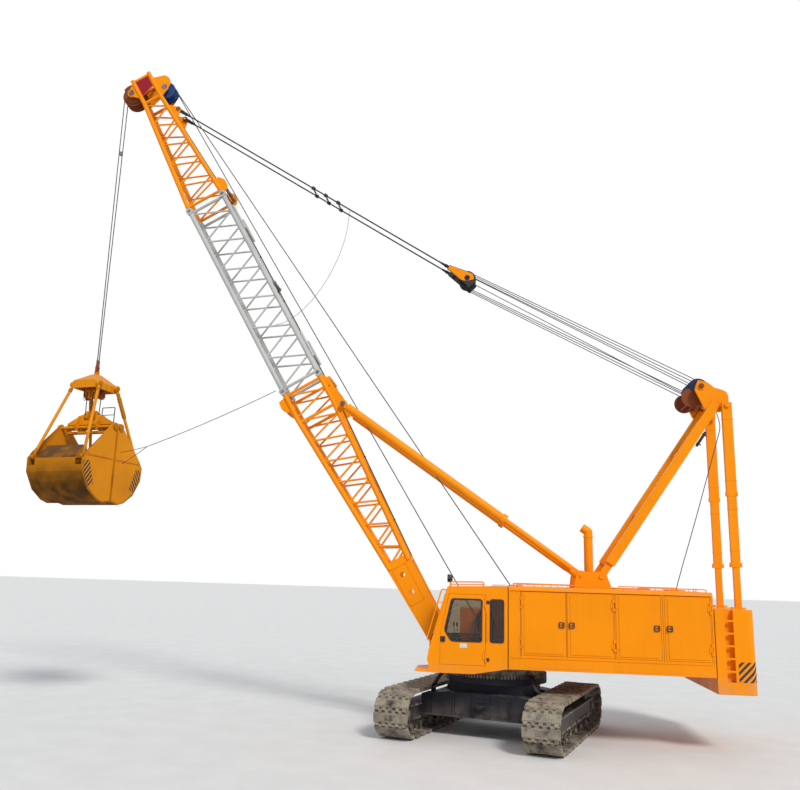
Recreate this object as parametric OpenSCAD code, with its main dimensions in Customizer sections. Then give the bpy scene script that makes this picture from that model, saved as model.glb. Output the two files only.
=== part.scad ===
// Crawler crane with a lattice boom and a clamshell grab.
// X points forward along the boom, Y to the cab side, Z up.
// The origin lies on the ground under the slewing axis.

/* [Tracks] */
// Distance between the two track centre lines
track_gauge = 3290; // [3100:10:3500]
// Width of a track shoe
shoe_w = 790; // [700:10:850]
// Overall length of a track
track_len = 4910; // [4600:10:5200]
// Overall height of a track
track_h = 1040; // [980:10:1100]
// Thickness of a shoe with its link
shoe_t = 90; // [70:5:110]
// Number of shoes in one track
shoe_count = 32; // [28:1:40]
// Depth of the groove between two shoes
shoe_groove = 40; // [20:5:50]
// Direction of the tracks, counted from the boom's direction
track_heading = 72.8; // [60:0.2:90]
// Radius of a bottom roller
roller_r = 125; // [100:5:150]
// Number of bottom rollers on one side
roller_count = 7; // [5:1:9]
// Thickness of a side frame's plate
frame_plate = 45; // [30:5:60]
// Clear width between the two plates of a side frame
frame_gap = 330; // [280:10:380]
// Height of a side frame's plate
frame_h = 330; // [280:10:380]

/* [Carbody] */
// Width of the carbody's centre box
carbody_w = 1700; // [1500:50:1900]
// Height of the carbody's underside over the ground
carbody_clear = 430; // [400:10:480]
// Height of a cross beam
cross_beam_h = 520; // [450:10:600]
// Width of a cross beam
cross_beam_w = 480; // [400:10:560]
// Distance of a cross beam from the slewing axis
cross_beam_x = 880; // [800:10:960]
// Height of the carbody's top over the ground
carbody_top = 1290; // [1250:10:1300]
// Radius of the hole in a towing eye
tow_eye_r = 40; // [30:1:50]
// Thickness of a towing eye
tow_eye_t = 50; // [40:5:60]
// Distance of a towing eye's hole from its plate
tow_eye_out = 90; // [85:5:120]
// Thickness of the plate that carries a towing eye
tow_plate_t = 40; // [30:5:60]
// Radius of a travel gearbox
gearbox_r = 190; // [160:10:210]
// Outer radius of the slewing ring
ring_r = 1180; // [1000:10:1250]
// Radial width of the slewing ring
ring_w = 160; // [120:10:200]

/* [Platform] */
// Height of the platform's underside at the slewing ring
platform_z = 1500; // [1480:10:1520]
// Height of the deck's top over the ground
deck_z = 1800; // [1780:10:1820]
// Thickness of the deck plate
deck_t = 50; // [30:5:60]
// Height of the skirt's lower edge
skirt_z = 1560; // [1540:10:1580]
// Thickness of the skirt
skirt_t = 60; // [40:5:80]
// Width of the machine house
house_w = 3100; // [3000:10:3200]
// Front face of the machine house
house_front = -260; // [-300:10:-220]
// Rear face of the machine house
house_rear = -4640; // [-4700:10:-4600]
// Front edge of the centre tongue that carries the boom
tongue_front = 1420; // [1400:10:1500]
// Thickness of the main longitudinal beams
beam_t = 60; // [40:5:80]
// Front edge of the far-side deck
far_deck_front = 900; // [700:20:1000]

// Height of the far-side tank's top
tank_top = 2750; // [2600:10:2900]

/* [House] */
// Height of the roof over the ground
roof_z = 3320; // [3280:10:3360]
// Thickness of walls and roof
wall_t = 60; // [40:5:80]
// Radius of the roof's long edges
roof_r = 90; // [60:5:120]
// Height of a door's lower edge
door_z0 = 1870; // [1850:5:1900]
// Height of a door's upper edge
door_z1 = 3220; // [3200:5:3224]
// Gap between a door and its frame
door_gap = 6; // [5:1:10]
// Thickness of a door leaf
door_t = 45; // [30:5:50]
// Height of the raised panel on a door
door_emboss = 12; // [6:1:15]
// Distance of a hinge axis outside the wall
hinge_out = 18; // [16:1:24]
// Radius of a hinge knuckle
knuckle_r = 12; // [10:1:14]

/* [Cab] */
// Inner side of the cab, next to the boom
cab_y0 = 600; // [580:10:640]
// Height of the cab floor's underside
cab_z0 = 1560; // [1540:10:1580]
// Height of the lower edge of the cab's carrier
cab_low_z = 1430; // [1400:10:1450]
// Thickness of the ring seat under the platform
ring_seat_t = 58; // [40:1:59]
// Front edge of the step in front of the cab
cab_step_x = 1800; // [1600:10:1850]
// Thickness of that step
cab_step_t = 30; // [20:5:40]
// Front edge of the cab's foot
cab_front = 1480; // [1440:10:1500]
// Front edge of the cab's knee
cab_knee = 1530; // [1500:10:1560]
// Front edge of the cab's roof
cab_top_front = 1100; // [1060:10:1140]
// Thickness of the cab's wall
cab_t = 45; // [30:5:60]
// Thickness of the panes
glass_t = 8; // [5:1:12]
// Rear edge of the cab door, where it is hinged
cab_door_x = 250; // [230:10:270]

/* [Counterweight] */
// Front face of the counterweight
cw_front = -4660; // [-4700:10:-4650]
// Rear face of the counterweight
cw_rear = -5490; // [-5550:10:-5450]
// Height of its underside
cw_z0 = 1230; // [1200:10:1260]
// Height of its top
cw_z1 = 2980; // [2940:10:3020]
// Radius of its rear corners
cw_r = 160; // [100:10:220]
// Distance between two rungs of the step recess
rung_step = 260; // [240:10:300]

/* [A-frame] */
// Distance between the two legs of a pair
aframe_w = 1160; // [1100:10:1240]
// Pin of the front legs, along X
aframe_foot_x = -2420; // [-2500:10:-2350]
// Pin of the front legs, height
aframe_foot_z = 3600; // [3560:10:3640]
// Upper end of the front legs, along X
aframe_top_x = -5280; // [-5320:10:-5200]
// Upper end of the front legs, height
aframe_top_z = 7850; // [7800:10:7900]
// Width of a front leg
leg_w = 170; // [140:10:190]
// Depth of a front leg
leg_h = 220; // [180:10:250]
// Shaft of the head sheaves, along X
aframe_head_x = -4880; // [-4950:10:-4800]
// Shaft of the head sheaves, height
aframe_head_z = 8150; // [8050:10:8250]
// Distance of the rear legs from the counterweight's rear face
rear_leg_inset = 90; // [80:5:140]
// Height of the pins that hold the rear legs
rear_pin_z = 7650; // [7600:10:7700]
// Height of the collar at the middle of a rear leg
rear_collar_z = 5550; // [5400:10:5700]
// Height of the lower collar of a rear leg
rear_foot_z = 3940; // [3800:10:4000]
// Radius of a head sheave
head_sheave_r = 250; // [220:10:280]
// Number of head sheaves
head_sheave_count = 6; // [4:1:7]

/* [Exhaust] */
// Place of the exhaust stack, along X
stack_x = -2180; // [-2250:10:-2150]
// Place of the exhaust stack, across
stack_y = 200; // [150:10:300]
// Radius of the exhaust stack
stack_r = 105; // [90:5:120]
// Height of the stack's bend
stack_z = 4640; // [4500:10:4700]

/* [Boom] */
// Angle of the boom over the horizontal as stored
luff = 59.9; // [50:0.1:70]
// Foot pin of the boom, along X
foot_x = 1318; // [1280:1:1360]
// Foot pin of the boom, height
foot_z = 1894; // [1860:1:1930]
// Distance between the boom's side faces, at the chords' centres
boom_w = 900; // [860:10:940]
// Depth of the boom between chord centres
boom_d = 1020; // [960:10:1060]
// Length of the lower section
lower_len = 7340; // [7200:10:7500]
// Length of the insert section
insert_len = 5820; // [5600:10:6000]
// Length of the top section
top_len = 4700; // [4600:10:4800]
// Radius of a chord
chord_r = 62; // [50:2:75]
// Radius of a brace
brace_r = 26; // [20:1:32]
// Radius of the foot pins
foot_pin_r = 60; // [50:1:70]
// Thickness of a foot plate
foot_plate_t = 50; // [40:5:60]
// Running clearance of a pin in its bore
run_fit = 0.05; // [0.02:0.01:0.09]
// Side clearance beside a moving plate
side_gap = 5; // [5:1:8]
// Radius of the hoist sheaves in the nose
nose_r = 320; // [280:10:340]
// Radius of the guide sheave on the back of the head
guide_r = 250; // [220:10:270]

/* [Backstops] */
// Outer radius of a backstop tube
strut_tube_r = 105; // [90:5:120]
// Radius of a backstop rod
strut_rod_r = 70; // [60:5:80]
// Length of a backstop tube
strut_tube_len = 4950; // [4800:10:5050]
// Length of rod hidden in the tube
strut_rod_in = 2000; // [1800:20:2200]

/* [Pendants] */
// Distance of the first spreader from the boom's lug
spreader_s = 4780; // [4700:10:4860]
// Distance between two spreaders
spreader_pitch = 415; // [380:5:450]
// Number of spreaders
spreader_count = 3; // [2:1:4]

/* [Grab] */
// Suspension point of the grab, along X
grab_x = 10740; // [10700:10:10800]
// Turn of the grab about its ropes
grab_yaw = 76.8; // [60:0.2:90]
// Height of the head plate's pins
grab_head_z = 8200; // [8150:10:8250]
// Half width of the grab's head over the arms' upper eyes
arm_top_y = 420; // [400:10:460]
// Height of the lower crosshead's pin
grab_hinge_z = 7080; // [7040:10:7120]
// Height of the arms' lower pins
grab_arm_z = 6180; // [6140:10:6220]
// Height of the closed cutting edge
grab_lip_z = 5060; // [5000:10:5100]
// Width of a jaw
jaw_w = 1750; // [1700:10:1800]
// Span over both closed jaws
jaw_span = 2320; // [2260:10:2380]
// Thickness of a jaw's plates
jaw_t = 30; // [20:2:40]
// Radius of the grab's pins
grab_pin_r = 40; // [30:1:50]

/* [Hidden] */
seat = 0.3;
house_y = house_w/2;
track_r = track_h/2;
track_a = (track_len - track_h)/2;
wheel_r = track_r - shoe_t - seat;
frame_y = frame_gap/2 + frame_plate;
frame_z0 = track_r - frame_h/2;
boom_y = boom_w/2;
// door table: front edge x, rear edge x, 1 when hinged at the front edge
doors = [[-540, -1500, 1], [-1540, -2520, 0], [-2580, -3530, 1], [-3620, -4570, 0]];
hinge_h = 120;
hinge_fixed_h = 60;
hinge_zs = [door_z0 + 200, door_z1 - 300];
cab_hinge_zs = [1750, 2880];
aframe_y = aframe_w/2;
rear_leg_x = cw_rear + rear_leg_inset;
rear_leg_w = 120;
rear_y = aframe_y + leg_w/2 + side_gap + rear_leg_w/2;
head_tube_r = 90;
leg_pin_r = 50;
boom_top_s = lower_len + insert_len;
head_s = boom_top_s + 3840;
head_top_s = head_s + 880;
head_t = 260;
nose_s = head_s + 540;
nose_t = -440;
nose_y = 300;
lug_y = 285;
nose_pitch = 110;
groove_d = 40;
rope_r = 14;
guide_s = head_s + 190;
guide_t = 480;
lug_s = head_s - 660;
lug_t = 530;
lug_pin_r = 35;
pendant_y = 230;
pendant_r = 20;
bridle_pin_r = 45;
bridle_sheave_r = 220;
strut_y = aframe_y;
strut_pin_r = 45;
strut_s = 6260;
strut_t = 700;
strut_x = foot_x + strut_s*cos(luff) - strut_t*sin(luff);
strut_z = foot_z + strut_s*sin(luff) + strut_t*cos(luff);
bracket_x = -1950;
bracket_z = 3620;
bracket_t = 30;
bracket_gap = 70;
strut_len = norm([strut_x - bracket_x, strut_z - bracket_z]);
strut_angle = atan2(strut_z - bracket_z, strut_x - bracket_x);
rod_eye_len = 270;
lug_x = foot_x + lug_s*cos(luff) - lug_t*sin(luff);
lug_z = foot_z + lug_s*sin(luff) + lug_t*cos(luff);
bridle_x = 1220;
bridle_z = 11390;
pendant_len = norm([lug_x - bridle_x, lug_z - bridle_z]);
pendant_angle = atan2(lug_z - bridle_z, lug_x - bridle_x);
bridle_sheave_x = -pendant_len - 520;
nose_x = foot_x + nose_s*cos(luff) - nose_t*sin(luff);
nose_z = foot_z + nose_s*sin(luff) + nose_t*cos(luff);

yellow = [0.98, 0.58, 0.02];
grey = [0.6, 0.62, 0.62];
dark = [0.12, 0.13, 0.16];

// A straight bar with fn sides from one point to another
module bar(p, q, r, fn = 8) {
    d = q - p;
    len = norm(d);
    translate(p) rotate([0, acos(d[2]/len), atan2(d[1], d[0])]) cylinder(h = len, r = r, $fn = fn);
}
// A cylinder along Y, centred on a point
module ycyl(p, r, w, fn = 96) {
    translate(p) rotate([90, 0, 0]) cylinder(h = w, r = r, center = true, $fn = fn);
}
// A plate in the XZ plane, centred on y
module yplate(y, t, points) {
    translate([0, y + t/2, 0]) rotate([90, 0, 0]) linear_extrude(t) polygon(points);
}
// A box between two corners
module block(a, b) {
    translate(a) cube(b - a);
}
function arc(c, r, a0, a1, n) = [for (i = [0:n]) c + r*[cos(a0 + (a1 - a0)*i/n), sin(a0 + (a1 - a0)*i/n)]];

// Outline of a straight strip of half width w
function strip(p, q, w) = let (d = (q - p)/norm(q - p), n = w*[-d[1], d[0]]) [p + n, p - n, q - n, q + n];

// A point of the track's outline at a share u of its length and a radius r
function loop_len() = 4*track_a + 2*PI*track_r;
function loop_pt(u, r) =
    let (l = u*loop_len(), top = 2*track_a, bend = PI*track_r)
    l < top ? [track_a - l, track_r + r]
    : l < top + bend ? let (k = 180*(l - top)/bend) [-track_a - r*sin(k), track_r + r*cos(k)]
    : l < 2*top + bend ? [-track_a + (l - top - bend), track_r - r]
    : let (k = 180*(l - 2*top - bend)/bend) [track_a + r*sin(k), track_r - r*cos(k)];
// outline of one shoe: share of the pitch, share of the groove's depth
shoe_outline = [[0.06, 0], [0.30, 0], [0.37, 0.4], [0.63, 0.4], [0.70, 0], [0.94, 0], [0.94, 1], [1.06, 1]];
module track(side) {
    shoe = 1/shoe_count;
    outer = [for (i = [0:shoe_count - 1], k = shoe_outline)
        loop_pt((i + k[0])*shoe % 1, track_r - k[1]*shoe_groove)];
    color(dark) on_tracks() translate([0, side*track_gauge/2, 0]) difference() {
        yplate(0, shoe_w, outer);
        for (x = [-track_a, track_a]) ycyl([x, 0, track_r], track_r - shoe_t, shoe_w + 2);
        block([-track_a, -shoe_w, shoe_t], [track_a, shoe_w, track_h - shoe_t]);
    }
}
module on_tracks() {
    rotate([0, 0, track_heading]) children();
}
roller_pitch = 2*(track_a - 260)/(roller_count - 1);
module side_frame(side) {
    color(dark) on_tracks() translate([0, side*track_gauge/2, 0]) {
        difference() {
            union() {
                for (k = [-1, 1]) block([-track_a - 190, k*(frame_y - frame_plate/2) - frame_plate/2, frame_z0],
                    [track_a + 190, k*(frame_y - frame_plate/2) + frame_plate/2, frame_z0 + frame_h]);
                block([-track_a + 480, -frame_gap/2 - 1, frame_z0 + frame_h/2], [track_a - 480, frame_gap/2 + 1, frame_z0 + frame_h]);
                // travel gearbox on the inner side
                ycyl([-track_a, -side*(frame_y + 90), track_r], gearbox_r, 200, 48);
                ycyl([-track_a, -side*(frame_y + 260), track_r], gearbox_r - 60, 180, 48);
            }
            for (x = [-track_a, track_a]) ycyl([x, 0, track_r], 70 + seat, 2*frame_y + 42);
            for (i = [0:roller_count - 1]) ycyl([-track_a + 260 + i*roller_pitch, 0, shoe_t + roller_r + seat], 35 + seat, 2*frame_y + 20);
        }
    }
}
module track_wheels(side) {
    color(dark) on_tracks() translate([0, side*track_gauge/2, 0]) {
        for (x = [-track_a, track_a]) {
            ycyl([x, 0, track_r], wheel_r, frame_gap - 60);
            ycyl([x, 0, track_r], 70, 2*frame_y + 40);
        }
        for (i = [0:roller_count - 1]) {
            x = -track_a + 260 + i*roller_pitch;
            ycyl([x, 0, shoe_t + roller_r + seat], roller_r, frame_gap - 60);
            ycyl([x, 0, shoe_t + roller_r + seat], 35, 2*frame_y + 20);
        }
    }
}
// Half width of the carbody between the side frames
carbody_y = track_gauge/2 - frame_y;
module carbody() {
    color(dark) on_tracks() {
        for (k = [-1, 1]) mirror([k < 0 ? 1 : 0, 0, 0]) {
            cross_beam();
            tow_eye();
        }
        block([-carbody_w/2, -carbody_w/2, carbody_clear + 60], [carbody_w/2, carbody_w/2, carbody_top - 60]);
        translate([0, 0, carbody_top - 120]) cylinder(h = 120, r = ring_r, $fn = 96);
    }
}
// A cross beam that rises towards the middle, with ribs on its outer face
module cross_beam() {
    x1 = cross_beam_x + cross_beam_w/2;
    z1 = carbody_clear + cross_beam_h;
    translate([x1, 0, 0]) rotate([90, 0, -90]) linear_extrude(cross_beam_w)
        polygon([[-carbody_y, carbody_clear], [carbody_y, carbody_clear], [carbody_y, z1 - 80], [carbody_w/2, z1], [-carbody_w/2, z1], [-carbody_y, z1 - 80]]);
    for (y = [-0.8, -0.45, 0.45, 0.8]) block([x1 - 1, y*carbody_y - 12, carbody_clear], [x1 + tow_plate_t, y*carbody_y + 12, z1 - 90]);
    block([x1 - 1, -carbody_y, carbody_clear], [x1 + tow_plate_t, carbody_y, carbody_clear + 25]);
}
// Towing eye with an upright hole in the middle of a cross beam's outer face
module tow_eye() {
    x0 = cross_beam_x + cross_beam_w/2;
    z = carbody_clear + cross_beam_h/2;
    block([x0 - 1, -200, carbody_clear], [x0 + tow_plate_t, 200, carbody_clear + cross_beam_h]);
    x = x0 + tow_plate_t + tow_eye_out;
    translate([0, 0, z - tow_eye_t/2]) difference() {
        linear_extrude(tow_eye_t) polygon(concat([[x0, 150], [x0, -150]], arc([x, 0], 2*tow_eye_r, -80, 80, 8)));
        translate([x, 0, -1]) cylinder(h = tow_eye_t + 2, r = tow_eye_r, $fn = 64);
    }
}
module slew_ring() {
    color(dark) translate([0, 0, carbody_top]) difference() {
        cylinder(h = platform_z - carbody_top - seat, r = ring_r, $fn = 96);
        translate([0, 0, -1]) cylinder(h = 400, r = ring_r - ring_w, $fn = 96);
    }
}

lug_plate_t = 40;
module foot_lugs() {
    for (s = [-1, 1], k = [-1, 1]) {
        y = s*boom_y + k*(foot_plate_t + lug_plate_t + 2*side_gap)/2;
        yplate(y, lug_plate_t, concat([[foot_x - 420, deck_z - 200], [foot_x + 100, deck_z - 200]],
            arc([foot_x, foot_z], 150, -20, 160, 12)));
    }
}
// The cab's carrier: it tapers towards the house and ends in a step
carrier_side = [[house_front + 20, cab_z0], [cab_front - 970, cab_low_z], [cab_front - 60, cab_low_z], [cab_step_x, cab_low_z + 15],
    [cab_step_x, cab_low_z + 15 + cab_step_t], [cab_front + 40, cab_low_z + 60], [cab_front, cab_z0]];
module carrier_form() {
    yplate((cab_y0 - 40 + house_y)/2, house_y - cab_y0 + 40, carrier_side);
}
// The carrier's plate over the slewing ring's height
module carrier_plate() {
    difference() {
        carrier_form();
        block([-2*cab_front, 0, 0], [2*cab_front, house_w, platform_z]);
    }
}
// The plate under the cab, and below it the box round the slewing ring with its step
module cab_carrier() {
    color(yellow) carrier_plate();
    color(yellow) difference() {
        carrier_form();
        block([-2*cab_front, 0, platform_z - seat], [2*cab_front, house_w, deck_z]);
        translate([0, 0, cab_low_z - 1]) cylinder(h = platform_z - cab_low_z + 1, r = ring_r + 40, $fn = 96);
    }
}
module platform() {
    color(yellow) {
        difference() {
            union() {
                block([house_rear, -house_y, deck_z - deck_t], [house_front, house_y, deck_z]);
                for (s = [-1, 1]) block([house_rear, s*(house_y - skirt_t/2) - skirt_t/2, skirt_z], [house_front, s*(house_y - skirt_t/2) + skirt_t/2, deck_z]);
                block([house_rear, -house_y, skirt_z], [house_rear + skirt_t, house_y, deck_z]);
                // main beams and the ring seat
                for (s = [-1, 1]) block([house_rear, s*boom_y - beam_t/2, platform_z], [foot_x - 300, s*boom_y + beam_t/2, deck_z - 1]);
                for (x = [-3200, -1500, house_front - beam_t]) block([x, -house_y + 1, platform_z + 60], [x + beam_t, house_y - 1, deck_z - 1]);
                translate([0, 0, platform_z]) cylinder(h = ring_seat_t, r = ring_r - 20, $fn = 96);
                intersection() {
                    translate([0, 0, platform_z]) cylinder(h = deck_z - platform_z - deck_t + 1, r = ring_r - 20, $fn = 96);
                    block([-ring_r, -ring_r, platform_z], [ring_r, cab_y0 - 20, deck_z]);
                }
                // decks in front of the house
                block([house_front - 1, -boom_y - beam_t/2, deck_z - deck_t], [foot_x - 300, cab_y0 - 20, deck_z]);
                block([house_front - 1, -house_y, skirt_z], [far_deck_front, -boom_y - 60, deck_z]);
                block([house_front - 1, boom_y - 1, cab_z0 - 20], [0, cab_y0, deck_z - 1]);
            }
            translate([0, 0, platform_z - 1]) cylinder(h = deck_z - deck_t - platform_z + 1, r = 500, $fn = 64);
            foot_lugs();
            carrier_plate();
        }
    }
}
// The four lugs, let into the tongue, and the boom's foot pins
module boom_foot_lugs() {
    color(yellow) difference() {
        foot_lugs();
        ycyl([foot_x, 0, foot_z], foot_pin_r, 2*house_y);
    }
    color(dark) for (s = [-1, 1])
        ycyl([foot_x, s*boom_y, foot_z], foot_pin_r - run_fit, foot_plate_t + 2*lug_plate_t + 2*side_gap + 60);
}

// One half of a hinge: a knuckle on the axis at x and its leaf towards k, on the side s
module hinge_half(s, x, k, z, h, leaf) {
    y = s*(house_y + hinge_out);
    translate([x, y, z]) cylinder(h = h, r = knuckle_r, $fn = 24);
    block([min(x, x + k*leaf), min(y, y - s*(hinge_out + 1)), z], [max(x, x + k*leaf), max(y, y - s*(hinge_out + 1)), z + h]);
}
// Side wall of the house with its four door openings
module side_wall(s) {
    color(yellow) difference() {
        block([house_rear, s*(house_y - wall_t/2) - wall_t/2, deck_z], [house_front, s*(house_y - wall_t/2) + wall_t/2, roof_z - roof_r]);
        for (d = doors) block([d[1] - door_gap, s*house_y - wall_t - 10, door_z0 - door_gap], [d[0] + door_gap, s*house_y + wall_t + 10, roof_z]);
    }
    color(yellow) for (d = doors, z = hinge_zs, k = [-hinge_fixed_h - seat, hinge_h + seat])
        hinge_half(s, d[2] ? d[0] : d[1], d[2] ? 1 : -1, z + k, hinge_fixed_h, 30);
}
module house_end_walls() {
    color(yellow) {
        for (x = [house_rear, house_front - wall_t]) translate([x, 0, 0]) rotate([90, 0, 90]) linear_extrude(wall_t)
            polygon([[-house_y + wall_t, deck_z], [house_y - wall_t, deck_z], [house_y - wall_t, roof_z - roof_r], [house_y - roof_r, roof_z - wall_t],
                [-house_y + roof_r, roof_z - wall_t], [-house_y + wall_t, roof_z - roof_r]]);
    }
}
roof_outline = concat(arc([house_y - roof_r, roof_z - roof_r], roof_r, 0, 90, 6),
    arc([-house_y + roof_r, roof_z - roof_r], roof_r, 90, 180, 6),
    [[-house_y + wall_t, roof_z - roof_r]],
    arc([-house_y + roof_r, roof_z - roof_r], roof_r - wall_t, 180, 90, 6),
    arc([house_y - roof_r, roof_z - roof_r], roof_r - wall_t, 90, 0, 6));
module house_roof() {
    color(yellow) difference() {
        translate([house_rear, 0, 0]) rotate([90, 0, 90]) linear_extrude(house_front - house_rear) polygon(roof_outline);
        // slots for the hoist and luffing ropes
        block([-620, -250, roof_z - 200], [-330, 250, roof_z + 10]);
        block([-4350, -250, roof_z - 200], [-4000, 250, roof_z + 10]);
    }
}
// Two plates on each side of the roof hold the A-frame's foot and the backstop's rod
module roof_brackets() {
    color(yellow) for (s = [-1, 1], k = [-1, 1]) difference() {
        yplate(s*aframe_y + k*(bracket_gap/2 + bracket_t/2), bracket_t, concat([[aframe_foot_x - 230, roof_z], [bracket_x + 150, roof_z]],
            arc([bracket_x, bracket_z], 110, 10, 80, 6), [[(bracket_x + aframe_foot_x)/2, bracket_z + 60]],
            arc([aframe_foot_x, aframe_foot_z], 120, 90, 170, 6)));
        ycyl([aframe_foot_x, s*aframe_y, aframe_foot_z], leg_pin_r, 300);
        ycyl([bracket_x, s*strut_y, bracket_z], strut_pin_r, 300);
    }
    color(dark) for (s = [-1, 1], k = [-1, 1])
        ycyl([bracket_x, s*strut_y + k*(bracket_gap/2 + bracket_t), bracket_z], strut_pin_r - run_fit, 2*bracket_t - 10);
}
// Exhaust pipe with a short bend towards the front
module exhaust_stack() {
    color(yellow) difference() {
        union() {
            translate([stack_x, stack_y, roof_z]) cylinder(h = 20, r = stack_r + 60, $fn = 48);
            stack_core(stack_r);
        }
        stack_core(stack_r - 8);
    }
}
module stack_core(r) {
    translate([stack_x, stack_y, roof_z]) cylinder(h = stack_z - roof_z, r = r, $fn = 48);
    translate([stack_x, stack_y, stack_z]) sphere(r = r, $fn = 48);
    translate([stack_x, stack_y, stack_z]) rotate([0, 55, 0]) cylinder(h = 170 + (r < stack_r ? 10 : 0), r = r, $fn = 48);
}
module door(s, d) {
    w = d[0] - d[1];
    hx = d[2] ? d[0] : d[1];
    color(yellow) {
        block([d[1], s*(house_y - door_t/2) - door_t/2, door_z0], [d[0], s*(house_y - door_t/2) + door_t/2, door_z1]);
        block([d[1] + 60, s*(house_y + door_emboss/2) - door_emboss/2 - (s > 0 ? 1 : 0), door_z0 + 45], [d[0] - 60, s*(house_y + door_emboss/2) + door_emboss/2 + (s > 0 ? 0 : 1), door_z1 - 40]);
        for (z = hinge_zs) hinge_half(s, hx, d[2] ? -1 : 1, z, hinge_h, 55);
    }
    lx = d[2] ? d[1] + 90 : d[0] - 90;
    color(dark) block([lx - 35, s*(house_y + 18) - 18, 2490], [lx + 35, s*(house_y + 18) + 18, 2570]);
}
module engine_block() {
    color(dark) block([-3100, -600, deck_z], [-1900, 600, 2850]);
}
// winch table: drum centre x, z, half width
winches = [[150, 2500, 330], [-1200, 2530, 400], [-3900, 2530, 330]];
module hoist_winches() {
    color(dark) for (w = winches) {
        ycyl([w[0], 0, w[1]], 230, 2*w[2]);
        for (s = [-1, 1]) {
            ycyl([w[0], s*w[2], w[1]], 330, 30);
            block([w[0] - 120, s*(w[2] + 40) - 30, deck_z], [w[0] + 120, s*(w[2] + 40) + 30, w[1] + 60]);
        }
    }
}
module far_side_tank() {
    color(yellow) block([house_front + 10, -house_y + 10, deck_z], [far_deck_front - 20, -boom_y - 130, tank_top]);
}
module counterweight() {
    color(yellow) difference() {
        translate([0, 0, cw_z0]) linear_extrude(cw_z1 - cw_z0) polygon(concat([[cw_front, -house_y]], [[cw_front, house_y]],
            arc([cw_rear + cw_r, house_y - cw_r], cw_r, 90, 180, 8), arc([cw_rear + cw_r, -house_y + cw_r], cw_r, 180, 270, 8)));
        for (s = [-1, 1]) block([-5040, s*house_y - 130, 1480], [-4860, s*house_y + 130, cw_z1 + 10]);
    }
    for (s = [-1, 1], i = [0:4]) color(dark) translate([-5041, s*(house_y - 30), 1700 + i*rung_step]) rotate([0, 90, 0]) cylinder(h = 182, r = 14, $fn = 24);
}

cab_side = [[house_front + 20, cab_z0], [cab_front, cab_z0], [cab_knee, 1700], [1500, 1900], [cab_top_front, roof_z - 40], [house_front + 20, roof_z]];
cab_inside = [[house_front + 20 + cab_t, cab_z0 + cab_t], [cab_front - cab_t, cab_z0 + cab_t], [cab_knee - cab_t, 1700], [1500 - cab_t, 1890], [cab_top_front - cab_t, roof_z - 40 - cab_t], [house_front + 20 + cab_t, roof_z - cab_t]];
cab_door_side = [[cab_door_x, cab_z0 + cab_t + 10], [1240, cab_z0 + cab_t + 10], [1240, 2260], [1060, 3120], [cab_door_x, 3120]];
cab_window_1 = [[330, 3015], [1000, 3015], [1150, 2340], [1000, 2110], [330, 2110]];
cab_window_2 = [[140, 3020], [-150, 3020], [-150, 2110], [140, 2110]];
cab_window_in = [[1000, 3015], [100, 3015], [100, 2200], [1180, 2200]];
module cab_shell() {
    color(yellow) difference() {
        yplate((house_y + cab_y0)/2, house_y - cab_y0, cab_side);
        yplate((house_y + cab_y0)/2, house_y - cab_y0 - 2*cab_t, cab_inside);
        yplate(house_y - cab_t/2, cab_t + 20, offset_in(cab_door_side, -door_gap));
        yplate(house_y, 2*cab_t + 20, cab_window_2);
        yplate(cab_y0, 2*cab_t + 20, cab_window_in);
        // windscreen in the sloping front
        windscreen(2*cab_t + 60, 0);
    }
    color(yellow) for (z = cab_hinge_zs, k = [-hinge_fixed_h - seat, hinge_h + seat])
        hinge_half(1, cab_door_x, -1, z + k, hinge_fixed_h, 30);
}
module windscreen(t, less) {
    a = atan2(roof_z - 40 - 1900, 1500 - cab_top_front);
    translate([1500, (cab_y0 + house_y)/2, 1900]) rotate([0, a - 90, 0]) translate([-cab_t/2 - t/2, -(house_y - cab_y0)/2 + 90 + less, 120 + less])
        cube([t, house_y - cab_y0 - 180 - 2*less, 1150 - 2*less]);
}
module cab_panes() {
    color([0.3, 0.25, 0.2]) {
        yplate(house_y - cab_t/2, glass_t, offset_in(cab_window_2, seat));
        yplate(cab_y0 + cab_t/2, glass_t, offset_in(cab_window_in, seat));
        windscreen(glass_t, seat);
    }
}
function centre(p) = [for (k = [0, 1]) (min([for (q = p) q[k]]) + max([for (q = p) q[k]]))/2];
function offset_in(p, d) = let (c = centre(p)) [for (q = p) q + [q[0] > c[0] ? -d : d, q[1] > c[1] ? -d : d]];
module cab_door() {
    color(yellow) difference() {
        union() {
            yplate(house_y - cab_t/2, cab_t, cab_door_side);
            for (z = cab_hinge_zs) hinge_half(1, cab_door_x, 1, z, hinge_h, 55);
        }
        yplate(house_y - cab_t/2, cab_t + 20, cab_window_1);
    }
}
module cab_door_pane() {
    color([0.3, 0.25, 0.2]) yplate(house_y - cab_t/2, glass_t, offset_in(cab_window_1, seat));
}
module cab_seat() {
    color(dark) {
        block([150, 850, cab_z0 + cab_t], [550, 1250, 1900]);
        block([100, 820, 1899], [600, 1280, 2010]);
        block([60, 820, 2009], [170, 1280, 2650]);
        block([800, 750, cab_z0 + cab_t], [1050, 950, 2250]);
    }
}

// A rectangular bar from one point to another, its depth h in the upright plane
module box_bar(p, q, w, h) {
    d = q - p;
    len = norm(d);
    translate(p) rotate([0, acos(d[2]/len), atan2(d[1], d[0])]) translate([-h/2, -w/2, 0]) cube([h, w, len]);
}
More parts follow.
